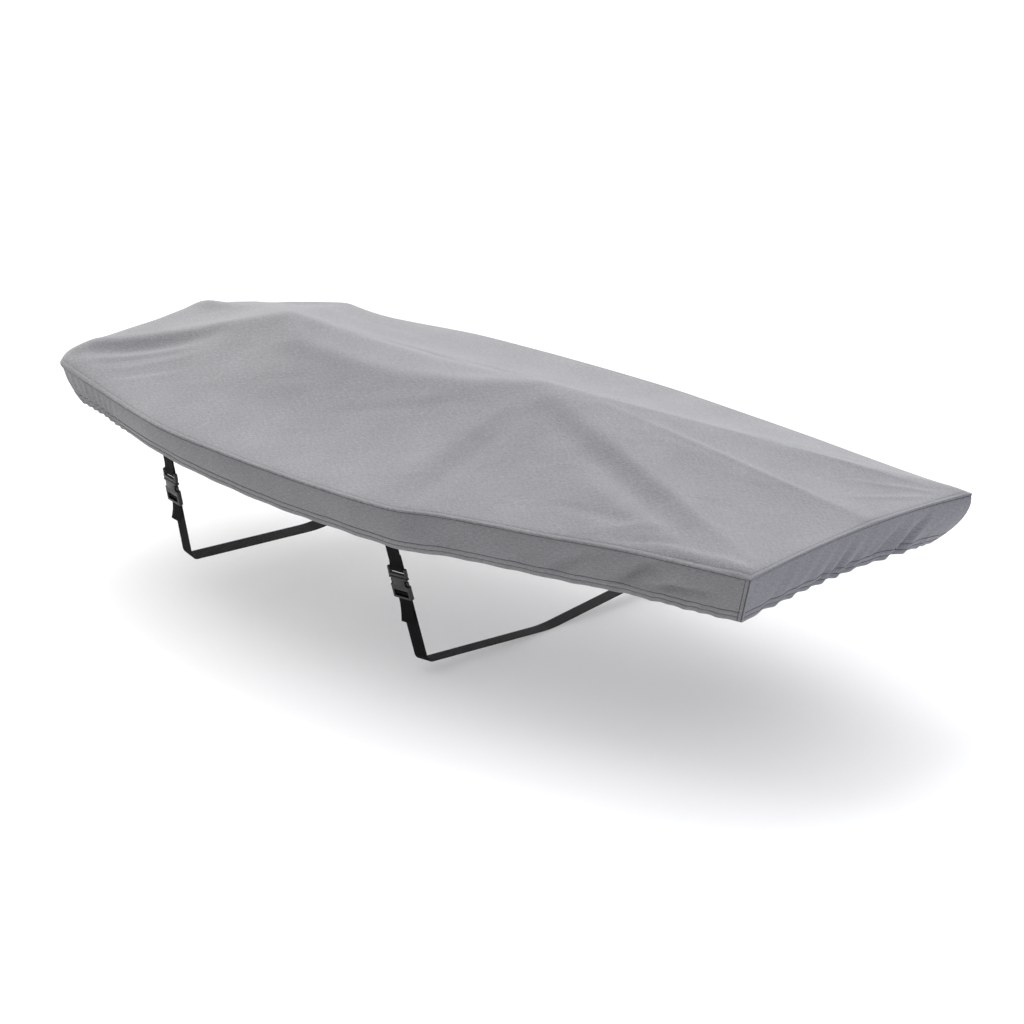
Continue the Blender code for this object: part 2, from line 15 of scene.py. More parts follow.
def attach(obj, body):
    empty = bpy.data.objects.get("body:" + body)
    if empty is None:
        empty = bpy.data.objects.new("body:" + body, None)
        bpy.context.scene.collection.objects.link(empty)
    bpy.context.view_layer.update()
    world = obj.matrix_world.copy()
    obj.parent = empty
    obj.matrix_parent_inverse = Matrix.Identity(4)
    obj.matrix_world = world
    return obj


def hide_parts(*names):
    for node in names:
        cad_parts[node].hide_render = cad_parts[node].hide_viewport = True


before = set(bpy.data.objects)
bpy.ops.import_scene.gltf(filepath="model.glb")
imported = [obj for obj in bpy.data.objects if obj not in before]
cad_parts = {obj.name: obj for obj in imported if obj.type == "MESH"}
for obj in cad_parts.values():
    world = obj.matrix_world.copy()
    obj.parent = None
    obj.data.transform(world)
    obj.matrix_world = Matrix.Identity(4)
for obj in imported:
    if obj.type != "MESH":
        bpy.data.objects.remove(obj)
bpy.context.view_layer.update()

# ---- The cover's sizes ----

BOW_X, STERN_X = -1.190, 1.178
LENGTH = STERN_X - BOW_X
CLOTH = 0.002
WEB = 0.002
WEB_WIDTH = 0.040
GAP = 0.0004
LIP = 0.0042  # how far the top panel's folded edge hangs over the bands
CUT_EDGE = 0.0007  # how far the edges of cloth and webbing are rounded
CORNER_SETBACK = 0.0032  # from the stern band's outer face to the side band's ends

# The plan at the gunwale. flare is how far the side leans in for each metre of depth, drop is the
# height of the band, and the rolls are how far the cloth rises where it turns over the gunwale,
# 6 mm unless given.
Station = namedtuple("Station", "x port starboard flare drop roll starboard_roll",
                     defaults=(0.006, 0.006))
STATIONS = [Station(*row) for row in (
    (BOW_X, 0.345, 0.335, 0.40, 0.098, 0.028, 0.004),
    (-1.080, 0.384, 0.370, 0.38, 0.088, 0.024, 0.011),
    (-0.980, 0.414, 0.410, 0.36, 0.082, 0.018, 0.018),
    (-0.800, 0.471, 0.478, 0.28, 0.080, 0.012, 0.012),
    (-0.600, 0.524, 0.536, 0.22, 0.082, 0.009, 0.009),
    (-0.400, 0.548, 0.553, 0.25, 0.094, 0.007, 0.007),
    (-0.200, 0.565, 0.557, 0.28, 0.102),
    (0.000, 0.575, 0.553, 0.31, 0.104),
    (0.130, 0.576, 0.545, 0.315, 0.107),
    (0.220, 0.570, 0.535, 0.315, 0.110),
    (0.320, 0.535, 0.522, 0.31, 0.110),
    (0.450, 0.507, 0.505, 0.30, 0.111),
    (0.600, 0.480, 0.483, 0.28, 0.113),
    (0.800, 0.437, 0.448, 0.25, 0.116),
    (1.000, 0.415, 0.414, 0.21, 0.120),
    (STERN_X, 0.402, 0.388, 0.18, 0.120),
)]
SHEER_SLOPE, SHEER_RISE = 0.011, 0.0135
BOW_CROWN, STERN_CROWN, CROWN_REACH = 0.014, 0.022, 0.16
BOW_CORNER = 0.050  # the radius of the bow's corners in plan
ROLL_REACH = 0.026
BOW_RAKE, STERN_RAKE, END_FLAT, RAKE_REACH = 0.40, 0.38, 0.012, 0.14

# Ridges of the taut cloth: how hard each holds the cloth up, and its (x, y, z) points in mm.
Ridge = namedtuple("Ridge", "hold line")
FORE_PEAK, AFT_PEAK = (-697, 0, 157), (175, 0, 169)
RIDGES = (
    # The crest, and the swag beside it.
    Ridge(5, (FORE_PEAK, (-460, 20, 138), (-240, 30, 134), (-20, 20, 148), AFT_PEAK)),
    Ridge(4, (FORE_PEAK, (-560, -90, 137), (-400, -92, 131), (-220, -95, 131), (0, -65, 152),
              AFT_PEAK)),
    # From the fore peak to the port bow, the starboard bow and the side abaft it.
    Ridge(7, (FORE_PEAK, (-930, -75, 86), (-1045, -165, 60), (-1130, -245, 42))),
    Ridge(4, (FORE_PEAK, (-950, 160, 84), (-1120, 270, 30))),
    Ridge(6, (FORE_PEAK, (-850, 350, 58), (-915, 440, 30))),
    # From the aft peak to the port strap, the port stern, the stern's middle and its starboard.
    Ridge(2, (AFT_PEAK, (130, -280, 77), (150, -540, 10))),
    Ridge(9, (AFT_PEAK, (700, -205, 101), (1150, -388, 36))),
    Ridge(6, (AFT_PEAK, (700, 0, 112), (1160, 25, 54))),
    Ridge(7, (AFT_PEAK, (760, 175, 99), (1150, 365, 37))),
)
SAG_LOAD, RIDGE_REACH, FINE_REACH = 0.95, 1.3, 0.75
LATTICE, ROUNDS, FINE_ROUNDS, CREASE_ROUNDS = (118, 56), 2500, 260, 3

Fold = namedtuple("Fold", "x0 y0 x1 y1 height half_width")


def in_metres(*millimetres):
    return Fold(*(size / 1000 for size in millimetres))


# Folds, in mm: a line in plan, its height (below zero in a trough) and its half width. The broad
# ones run where the solids have theirs, with crisper edges. The narrow ones are this cloth's alone.
FOLDS = [in_metres(*row) for row in (
    # Round the aft peak, towards the bow.
    (37, -106, -287, -262, 1.5, 22),
    (30, -135, -290, -292, -1.5, 22),
    (-566, -249, -389, -187, -1.4, 16),
    (-700, -230, -330, -230, 6, 70),
    # From the aft peak down to the aft strap.
    (205, -120, 225, -520, -6, 45),
    # Port, aft: the long trough to the stern corner, and the small rolls beside it.
    (270, -88, 1080, -376, -20, 42),
    (360, -75, 1130, -345, 4, 16),
    (560, -275, 810, -350, 3.5, 22),
    (520, -368, 800, -348, -3, 18),
    (680, -430, 840, -318, 2.5, 16),
    (770, -415, 930, -368, -3, 12),
    (860, -397, 1165, -379, 7.5, 15),
    (890, -418, 1130, -400, -5, 9),
    # Aft of the aft peak, to the middle of the stern and to starboard.
    (340, 14, 1160, 18, 3, 11),
    (330, 55, 1100, 312, 3.5, 12),
    (350, 150, 980, 375, 5, 24),
    (480, 170, 860, 300, 2, 10),
    (560, 240, 900, 360, 2, 10),
    (980, 185, 1160, 310, 2.5, 10),
    (1040, 90, 1168, 285, 2.5, 10),
    # The bow, to port: the riser below the ridge, and small folds fanning from the corner.
    (-1170, -348, -845, -98, -10, 34),
    (-1150, -285, -840, -42, 5, 26),
    (-1090, -352, -872, -165, 2.1, 14),
    (-1060, -368, -850, -175, -1.5, 11),
    (-1000, -372, -811, -180, 1.9, 15),
    (-950, -385, -800, -245, -1.2, 12),
    (-930, -400, -790, -275, 1.4, 13),
    # The bow's edge: its full port corner, and two rises and a dip to starboard.
    (-1260, -335, -1080, -235, 10, 50),
    (-1270, 128, -1030, 128, 20, 42),
    (-1270, 60, -1050, 60, 8, 50),
    (-1200, 285, -1040, 290, -6, 25),
    (-1060, 290, -860, 400, 7.5, 50),
    # Starboard of the crest.
    (-560, 90, -200, 160, 6, 28),
    (-500, 150, -120, 210, 4, 12),
    (-420, 200, -60, 270, 4, 12),
    (-380, 120, 0, 150, 4, 12),
)]
FOLD_ENDS = 0.08  # how much of its fading a fold keeps at its ends
EDGE_CALM = 0.030  # how far in from the edge the folds and dents start
DENT = 0.00028  # the cloth's general unevenness

# The hem: its gathers, its two rows of stitching above the edge, and the casing between them.
HEM_GATHER, GATHER_PITCH, GATHER_CHANGE, LEAST_GATHER = 0.0060, 0.062, 0.23, 0.45
PLEAT, PLEAT_CHANGE, LEAST_PLEAT = 0.0038, 0.17, 0.4  # the pleats sink between the gathers
WANDER, WANDER_RATE = 1.4, 11.0
GATHERED_BOW, GATHERED_STERN = (-0.85, -1.15), (0.50, 0.95)
SIDE_CALM = 0.50  # how much weaker the gathers are along the sides than across the stern
CORNER_CALM = 0.030
SLANT = 0.56  # how far the gathers astern run forward for each metre of depth
SCALLOP = 0.0014  # how far the edge rises between the gathers
EDGE_WAVE, EDGE_WAVE_RATE = 0.0008, 53
RUFFLE, RUFFLE_PITCH, RUFFLE_WANDER, RUFFLE_RATE = 0.0046, 0.046, 1.2, 19  # finer, at the bow
RUFFLED_FROM, RUFFLED_OVER = -0.80, 0.12
HEM_ROWS = (0.0125, 0.0260)  # the stitching's heights above the hem's edge
# How far the casing bulges, how sharply it ends, and how soon it starts at a stern corner.
CASING, CASING_END, CASING_START = 0.0012, 0.0006, 12
BULGE = 0.0060  # how far a band swells between its join and its hem
BAND_DENTS = 1.6  # how much more the bands are dented than the top panel
JOIN_CALM, JOIN_FLAT = 0.012, 0.3  # how far below the join the creases start
SEAM_BLEND = 0.01
# Creases in the side band, in mm: x and depth at both ends, height and half width.
BAND_FOLDS = [in_metres(*row) for row in (
    (775, 88, 905, 8, -18.5, 16),
    (855, 92, 965, 20, 8, 14),
    (850, 76, 1080, 56, -11.5, 11),
    (600, 85, 730, 20, -12, 17),
    (500, 85, 600, 35, -6, 14),
    (300, 85, 380, 30, -4, 16),
    (-40, 80, 60, 20, -4, 20),
    (-660, 60, -560, 68, -4, 10),
)]
# Pleats in the stern band, with y in place of x.
STERN_FOLDS = [in_metres(*row) for row in (
    (330, 30, 255, 115, -6, 12),
    (240, 28, 150, 118, -11, 12),
    (190, 40, 110, 118, 5, 14),
    (130, 40, 58, 118, -9, 10),
    (30, 50, -20, 115, -6, 10),
    (-40, 42, -78, 118, -7, 9),
    (-95, 55, -126, 118, -5, 8),
    (-180, 60, -230, 115, -3, 12),
)]
# How far the skirt tucks in and hangs lower at the starboard stern corner.
CORNER_TUCK, CORNER_LOWER, TUCK_REACH = 0.031, 0.008, 0.100
SEAM_ROW = 0.0100  # the top panel's stitching, in from its edge
CORNER_ROW = 0.0140  # the stitching beside the stern corners, in from the join
GROOVE, GROOVE_WIDTH = 0.0007, 0.0016

# The hull that the straps run round, and the straps.
CHINE_DEPTH, CHINE_RISE, CHINE_LOWEST_X = 0.424, 0.10, 0.20
KEEL_DROP, CHINE_RADIUS, KEEL_RADIUS = 0.034, 0.022, 0.400
HULL_IN = 0.0084  # how far the hull's side lies inside the band
NEAR = 0.01  # the length that slopes are read over
# shown is the webbing's length between the hem and the buckle, and tail is its free end's.
Strap = namedtuple("Strap", "name x shown tail")
STRAPS = (Strap("fore", -0.622, 0.038, 0.047), Strap("aft", 0.178, 0.058, 0.066))
SEWN_IN, FOLD_BACK, TAIL_LIFT = 0.050, 0.045, 0.0115
# How the webbing rises to the loop bar: the distance short of the bar, and the rise.
TO_BAR = ((0.024, 0.0), (0.020, 0.0004), (0.016, 0.0009), (0.012, 0.0019))

# The buckle, in its own frame: across the strap, down it from the loop bar, and out from the hull.
HALF_WIDTH, THICK = 0.0285, 0.0118
BAR_OUT, BAR_RADIUS, BAR_TURN = 0.0047, 0.0019, 0.0033
EAR_TOP, PLUG_END = -0.008, 0.0170
SOCKET_END, LADDER_TOP, LADDER_END = 0.0800, 0.0550, 0.0730
CROSSBAR_AT, SLOT_HALF = 0.0640, 0.0218

# The buckle's moulded blocks: from and to across, along and out, and how their edges are rounded.
Block = namedtuple("Block", "across along out rounding steps")
FULL_WIDTH, SLOT_WIDTH = (-HALF_WIDTH, HALF_WIDTH), (-SLOT_HALF, SLOT_HALF)
CROSSPIECE = Block(FULL_WIDTH, (0.0085, PLUG_END), (0.0028, THICK - 0.0014), 0.0014, 3)
TONGUE = Block((-0.0040, 0.0040), (0.0150, 0.0420), (0.0046, 0.0078), 0.0005, 2)
EAR = Block((SLOT_HALF - 0.0004, HALF_WIDTH), (EAR_TOP, 0.0125), (0.0010, THICK - 0.0020),
            0.0024, 4)
ARM = Block((0.0165, 0.0195), (0.0150, 0.0400), (0.0042, 0.0082), 0, 0)
BARB = Block((0.0180, 0.0272), (0.0275, 0.0400), (0.0036, 0.0088), 0.0014, 3)
SHELL = Block(FULL_WIDTH, (PLUG_END + GAP, SOCKET_END), (0.0006, THICK), 0.0026, 4)
# What is cut out of the shell. A cut that goes right through runs past its faces.
CLEAR = (-0.01, 0.03)
HOLLOW = Block((-0.0215, 0.0215), (PLUG_END + GAP - 0.01, 0.0460), (0.0032, 0.0092), 0, 0)
LADDER = Block(SLOT_WIDTH, (LADDER_TOP, LADDER_END), CLEAR, 0, 0)
TAIL_WAY = Block(SLOT_WIDTH, (LADDER_END - 0.01, SOCKET_END + 0.01), (CLEAR[0], 0.0056), 0, 0)
WINDOW = Block((0.0190, 0.0400), (0.0225, 0.0415), CLEAR, 0.0034, 4)

FLOOR_Z = -0.4605  # just below the straps


# ---- The taut cloth's shape ----

def smooth(x, xs, ys):
    """A curve through the points (xs, ys), read at x."""
    xs, ys = np.asarray(xs, float), np.asarray(ys, float)
    slopes = np.gradient(ys, xs)
    x = np.clip(x, xs[0], xs[-1])
    k = np.clip(np.searchsorted(xs, x) - 1, 0, len(xs) - 2)
    step = xs[k + 1] - xs[k]
    u = (x - xs[k]) / step
    return (
        (2 * u**3 - 3 * u**2 + 1) * ys[k]
        + (u**3 - 2 * u**2 + u) * step * slopes[k]
        + (3 * u**2 - 2 * u**3) * ys[k + 1]
        + (u**3 - u**2) * step * slopes[k + 1]
    )


def station(x, column):
    return smooth(x, [row.x for row in STATIONS], [getattr(row, column) for row in STATIONS])


def half_breadth(x, t):
    return np.where(t < 0, station(x, "port"), station(x, "starboard"))


def seam_height(x, y):
    """The height of the seam, carried inwards as the plane that the boat's edges lie in."""
    u = 2 * x / LENGTH
    inwards = 1 - np.minimum(1, np.abs(y) / station(x, "port")) ** 2
    crown = (BOW_CROWN * np.exp((BOW_X - x) / CROWN_REACH)
             + STERN_CROWN * np.exp((x - STERN_X) / CROWN_REACH))
    return SHEER_SLOPE * u + SHEER_RISE * u**2 + crown * inwards


def in_plan(s, t):
    """The plan position of a point of the top panel: s runs 0 to 1 aft, t -1 to 1 to starboard."""
    x = BOW_X + LENGTH * s
    breadth = half_breadth(x, t)
    aft, side = x - BOW_X, breadth * (1 - np.abs(t))
    a, b = np.maximum(0, BOW_CORNER - aft), np.maximum(0, BOW_CORNER - side)
    shrink = np.maximum(a, b) / np.maximum(1e-9, np.hypot(a, b))
    x = np.where((a > 0) & (b > 0), BOW_CORNER - a * shrink + BOW_X, x)
    side = np.where((a > 0) & (b > 0), BOW_CORNER - b * shrink, side)
    return x, np.sign(t) * (breadth - side)


def to_segment(x, y, x0, y0, x1, y1):
    """For each point: the distance to a segment in plan, and its nearest point's share along it."""
    dx, dy = x1 - x0, y1 - y0
    along = np.clip(((x - x0) * dx + (y - y0) * dy) / (dx * dx + dy * dy), 0, 1)
    return np.hypot(x - x0 - along * dx, y - y0 - along * dy), along


def along_line(x, y, line):
    """For each point: the distance to a line in plan, and the line's height nearest to it."""
    nearest, height = np.full(x.shape, 9.0), np.zeros(x.shape)
    for (x0, y0, z0), (x1, y1, z1) in zip(line, line[1:]):
        away, along = to_segment(x, y, x0, y0, x1, y1)
        height = np.where(away < nearest, z0 + along * (z1 - z0), height)
        nearest = np.minimum(away, nearest)
    return nearest, height


def edge_roll(x, s, t):
    """How far the cloth stands above the seam where it turns over the gunwale, and how far in."""
    side = half_breadth(x, t) * (1 - np.abs(t))
    near_edge = np.minimum(side, LENGTH * np.minimum(s, 1 - s))
    to_starboard = np.clip(2 * t - 1, 0, 1)
    roll = station(x, "roll") * (1 - to_starboard) + station(x, "starboard_roll") * to_starboard
    return roll * (1 - np.exp(-near_edge / ROLL_REACH)), near_edge


def lattice(cells):
    s, t = (np.linspace(low, 1, count + 1) for low, count in zip((0, -1), cells))
    return np.meshgrid(s, t, indexing="ij")


def relax(z, size, rounds, reach):
    """Lets a lattice of heights above the rolled edge settle between the ridges."""
    s, t = lattice(size)
    x, y = in_plan(s, t)
    cell = LENGTH / size[0]
    base = seam_height(x, y) + edge_roll(x, s, t)[0]
    hold, held = np.zeros(x.shape), np.zeros(x.shape)
    across = (station(x, "port") + station(x, "starboard")) / size[1]
    for ridge in RIDGES:
        away, height = along_line(x, y, np.array(ridge.line) / 1000)
        grip = ridge.hold * np.maximum(0, 1 - away / reach) / cell**2
        hold += grip
        held += grip * (height - base)
    fore_aft, sideways = 1 / cell**2, (1 / across**2)[1:-1, 1:-1]
    hold, held = hold[1:-1, 1:-1], held[1:-1, 1:-1]
    for _ in range(rounds):
        pull = fore_aft * (z[2:, 1:-1] + z[:-2, 1:-1]) + sideways * (z[1:-1, 2:] + z[1:-1, :-2])
        z[1:-1, 1:-1] = (pull - SAG_LOAD + held) / (2 * fore_aft + 2 * sideways + hold)
        np.maximum(z, 0, out=z)
    return z


def stretched_cloth():
    """The taut cloth's heights, relaxed on the solids' lattice and then on one twice as fine."""
    cell = LENGTH / LATTICE[0]
    coarse = relax(np.zeros((LATTICE[0] + 1, LATTICE[1] + 1)), LATTICE, ROUNDS, RIDGE_REACH * cell)
    fine = (2 * LATTICE[0], 2 * LATTICE[1])
    z = read_lattice(coarse, *lattice(fine))
    z = relax(z, fine, FINE_ROUNDS, RIDGE_REACH * cell * FINE_REACH)
    for _ in range(CREASE_ROUNDS):
        z[1:-1, 1:-1] = (z[2:, 1:-1] + z[:-2, 1:-1] + z[1:-1, 2:] + z[1:-1, :-2]) / 4
    return z


def read_lattice(z, s, t):
    rows, columns = z.shape[0] - 1, z.shape[1] - 1
    a, b = s * rows, (t + 1) / 2 * columns
    i = np.clip(a.astype(int), 0, rows - 1)
    j = np.clip(b.astype(int), 0, columns - 1)
    u, v = a - i, b - j
    return ((1 - u) * (1 - v) * z[i, j] + u * (1 - v) * z[i + 1, j]
            + (1 - u) * v * z[i, j + 1] + u * v * z[i + 1, j + 1])


def folds_at(x, y, folds):
    """The height of a table of folds at the points (x, y). Each fold fades towards its ends."""
    z = np.zeros(np.broadcast(x, y).shape)
    for fold in folds:
        away, along = to_segment(x, y, fold.x0, fold.y0, fold.x1, fold.y1)
        fade = np.sin(math.pi * (FOLD_ENDS + (1 - 2 * FOLD_ENDS) * along))
        z += fold.height * fade * np.exp(-((away / fold.half_width) ** 2))
    return z


def dents(x, y):
    """Shallow hollows a few centimetres across, from handling, deeper in some places."""
    wander = np.sin(31 * x + 17 * y) + np.sin(23 * x - 41 * y + 1.0)
    handled = 0.5 + 0.5 * np.sin(9 * x + 13 * y + 0.5 * wander) * np.sin(15 * y - 7 * x + 2.0)
    hollows = np.sin(52 * x + 71 * y + wander) + np.sin(88 * y - 33 * x + 1.2 * wander)
    return DENT * handled * hollows


def groove(distance):
    """How far a row of stitching draws the cloth in, at a distance from the row."""
    return -GROOVE * np.exp(-((distance / GROOVE_WIDTH) ** 2))


CLOTH_HEIGHTS = stretched_cloth()


def top_surface(s, t):
    x, y = in_plan(s, t)
    roll, near_edge = edge_roll(x, s, t)
    z = seam_height(x, y) + roll + read_lattice(CLOTH_HEIGHTS, s, t)
    calm = 1 - np.exp(-near_edge / EDGE_CALM)
    z += (folds_at(x, y, FOLDS) + dents(x, y)) * calm + groove(near_edge - SEAM_ROW)
    return np.stack([x, y, z], axis=-1)


# ---- The bands' shape ----

ALONG = np.linspace(0, 1, 341)
OVER = np.linspace(-1, 1, 111)


def outline():
    """The seam's points in plan, clockwise from the port stern corner: x, y and mitred normals."""
    port = [(s, -1.0) for s in ALONG[::-1]]
    bow = [(0.0, t) for t in OVER[1:-1]]
    starboard = [(s, 1.0) for s in ALONG]
    stern = [(1.0, t) for t in OVER[::-1][1:-1]]
    s, t = np.array(port + bow + starboard + stern).T
    x, y = in_plan(s, t)
    ahead = np.stack([np.roll(x, -1) - x, np.roll(y, -1) - y])
    ahead /= np.hypot(*ahead)
    outward = np.stack([-ahead[1], ahead[0]])
    mitre = outward + np.roll(outward, 1, axis=1)
    mitre /= (mitre * outward).sum(axis=0)
    return x, y, mitre[0], mitre[1]


def rake_at(x):
    """How far the ends lean in along X for each metre of depth."""
    fore = BOW_RAKE * np.exp(np.minimum(0, BOW_X - x + END_FLAT) / RAKE_REACH)
    aft = STERN_RAKE * np.exp(np.minimum(0, x - STERN_X + END_FLAT) / RAKE_REACH)
    return fore - aft


def stern_corner(x, y):
    """How far a seam point is from the nearest stern corner, and how far that calms the cloth."""
    away = np.hypot(x - STERN_X, half_breadth(x, y) - np.abs(y))
    return away, 1 - np.exp(-np.maximum(0, away - END_FLAT) / CORNER_CALM)


def gathering(x, calm):
    """How strongly the hem is gathered, from 0 to 1: at the bow and the stern quarters only."""
    fore, aft = (np.clip((x - start) / (full - start), 0, 1)
                 for start, full in (GATHERED_BOW, GATHERED_STERN))
    return np.maximum(fore, aft) * calm


def pucker(run, pitch, least=0.0):
    """An uneven wave along the hem, from the least strength up to 1."""
    wave = 0.5 + 0.5 * np.sin(2 * math.pi * run / pitch + WANDER * np.sin(WANDER_RATE * run))
    return least + (1 - least) * wave


def casing_bulge(above_hem):
    """The hem's casing across its height: it swells between its stitching and ends above it."""
    low, high = HEM_ROWS
    share = np.where(above_hem < low, above_hem / low, (above_hem - low) / (high - low))
    swell = np.sin(math.pi * np.clip(share, 0, 1))
    step = 1 / (1 + np.exp((above_hem - high - 2 * CASING_END) / CASING_END))
    drawn_in = groove(above_hem - low) + groove(above_hem - high)
    return CASING * (0.45 * step + 0.55 * swell) + drawn_in


def band_surface(x, y, nx, ny, depth):
    """A band's outer face below the seam point (x, y), inside the top panel's lip."""
    inset = CLOTH + GAP
    drop = station(x, "drop")
    share = np.clip(depth / drop, 0, 1)
    lean = station(x, "flare") * np.sign(y) * np.minimum(1, np.abs(y) / half_breadth(x, y))
    to_corner, calm = stern_corner(x, y)
    on_side = 1 - np.clip((half_breadth(x, y) - np.abs(y)) / SEAM_BLEND, 0, 1)
    on_stern = 1 - np.clip((STERN_X - x) / SEAM_BLEND, 0, 1)

    # Gathers with narrower pleats between them, both growing towards the hem.
    run = x + y
    slanted = run + np.where(x > 0, SLANT, 0) * depth
    gathered = gathering(x, calm) * (1 - SIDE_CALM * on_side * (x > 0))
    wave = pucker(slanted, GATHER_PITCH)
    gather = wave**2 * pucker(slanted + 0.02, GATHER_CHANGE, LEAST_GATHER)
    pleat = (1 - wave) ** 4 * pucker(slanted, PLEAT_CHANGE, LEAST_PLEAT)
    out = gathered * (HEM_GATHER * gather - PLEAT * pleat) * share

    # The bow's ruffle, which starts nearer the join, and what every band has.
    at_bow = np.clip((RUFFLED_FROM - x) / RUFFLED_OVER, 0, 1)
    ruffle = 2 * math.pi * (x - y) / RUFFLE_PITCH + RUFFLE_WANDER * np.sin(RUFFLE_RATE * run)
    out += at_bow * RUFFLE * np.sin(ruffle) * share**0.7
    out += BULGE * np.sin(math.pi * share) * calm
    out += casing_bulge(drop - depth) * np.minimum(1, CASING_START * calm)
    creases = folds_at(x, depth, BAND_FOLDS) * on_side + folds_at(y, depth, STERN_FOLDS) * on_stern
    creases *= np.clip(depth / JOIN_CALM - JOIN_FLAT, 0, 1)
    out += (creases + BAND_DENTS * dents(run, depth + x - y) * share) * calm

    near_corner = np.exp(-((to_corner / TUCK_REACH) ** 2)) * (y > 0)
    # Out a little below the join, and in by CORNER_TUCK at the hem.
    tuck = CORNER_TUCK * near_corner * share * (2.6 * share - 1.6)
    lifted = gathered * SCALLOP * (1 - gather) + EDGE_WAVE * np.sin(EDGE_WAVE_RATE * run)
    z = (seam_height(x, y) - CLOTH - 2 * GAP - depth + lifted * share**3
         - CORNER_LOWER * near_corner * share**2)
    return np.stack([x - nx * inset + rake_at(x) * depth + nx * out - tuck * np.sign(x),
                     y - ny * inset - lean * depth + ny * out - tuck, z], axis=-1)


# ---- Making pieces ----

def linear(code):
    """A colour's linear red, green and blue, from its sRGB hex code."""
    parts = [int(code[k:k + 2], 16) / 255 for k in (1, 3, 5)]
    return [p / 12.92 if p <= 0.04045 else ((p + 0.055) / 1.055) ** 2.4 for p in parts] + [1.0]


def apply_all(piece):
    """Selects a piece alone and applies its modifiers."""
    bpy.ops.object.select_all(action="DESELECT")
    piece.select_set(True)
    bpy.context.view_layer.objects.active = piece
    for modifier in list(piece.modifiers):
        bpy.ops.object.modifier_apply(modifier=modifier.name)


def linked(name, data):
    piece = bpy.data.objects.new(name, data)
    bpy.context.scene.collection.objects.link(piece)
    return piece


def unit(vectors):
    return vectors / np.linalg.norm(vectors, axis=-1)[..., None]


def travelled(line):
    """The distance along a line of points, at each of them."""
    return np.append(0, np.cumsum(np.linalg.norm(np.diff(line, axis=0), axis=1)))


def laid_grid(points, *flat):
    """A grid of faces laid through points[i, j], with its two flat sizes at each as its UV map."""
    columns, rows = points.shape[0] - 1, points.shape[1] - 1
    bpy.ops.mesh.primitive_grid_add(x_subdivisions=columns, y_subdivisions=rows, size=2)
    sheet = bpy.context.active_object
    mesh = sheet.data
    start = np.empty(len(mesh.vertices) * 3)
    mesh.vertices.foreach_get("co", start)
    share = (start.reshape(-1, 3)[:, :2] + 1) / 2
    i, j = np.rint(share * (columns, rows)).astype(int).T
    mesh.vertices.foreach_set("co", points[i, j].ravel())
    corner = np.empty(len(mesh.loops), int)
    mesh.loops.foreach_get("vertex_index", corner)
    mesh.uv_layers[0].name = "cut"
    cut = np.stack(np.broadcast_arrays(*flat), axis=-1)
    mesh.uv_layers[0].data.foreach_set("uv", cut[i, j][corner].ravel())
    mesh.update()
    return sheet


def soften(piece, width, segments, angle=40):
    edge = piece.modifiers.new("edges", "BEVEL")
    edge.width = width
    edge.segments = segments
    edge.limit_method = "ANGLE"
    edge.angle_limit = math.radians(angle)


def thicken(sheet, thickness, offset):
    """Makes a sheet a solid with softened edges."""
    shell = sheet.modifiers.new("thickness", "SOLIDIFY")
    shell.thickness = thickness
    shell.offset = offset
    shell.use_even_offset = True
    shell.use_quality_normals = True
    soften(sheet, CUT_EDGE, 2, 60)


def finished(piece, name, look, nodes=(), angle=50):
    """Names a piece, gives it its finish, and hides the CAD nodes it stands for."""
    apply_all(piece)
    piece.name = name
    piece.data.name = name
    piece.data.materials.append(look)
    bpy.ops.object.shade_smooth_by_angle(angle=math.radians(angle))
    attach(piece, "root")
    if nodes:
        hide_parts(*nodes)
    return piece


# ---- Finishes ----

DARK, LIGHT = 6, 7  # a colour Mix node's two colour sockets


def add(tree, kind, links=(), sockets=(), **settings):
    """Adds a node, with its settings and links from (output, socket) pairs. Returns its outputs."""
    node = tree.nodes.new("ShaderNode" + kind)
    for name, value in settings.items():
        if hasattr(node, name):
            setattr(node, name, value)
        else:
            node.inputs[name.replace("_", " ")].default_value = value
    for socket, value in dict(sockets).items():
        node.inputs[socket].default_value = value
    for output, socket in links:
        tree.links.new(output, node.inputs[socket])
    return node.outputs


def new_look(name, **surface):
    look = bpy.data.materials.new(name)
    look.use_nodes = True
    tree = look.node_tree
    body = tree.nodes["Principled BSDF"]
    for socket, value in surface.items():
        body.inputs[socket.replace("_", " ")].default_value = value
    return look, tree, body


def shown(tree, body, **outputs):
    """Links outputs to the shader's sockets, by name."""
    for socket, output in outputs.items():
        tree.links.new(output, body.inputs[socket.replace("_", " ")])


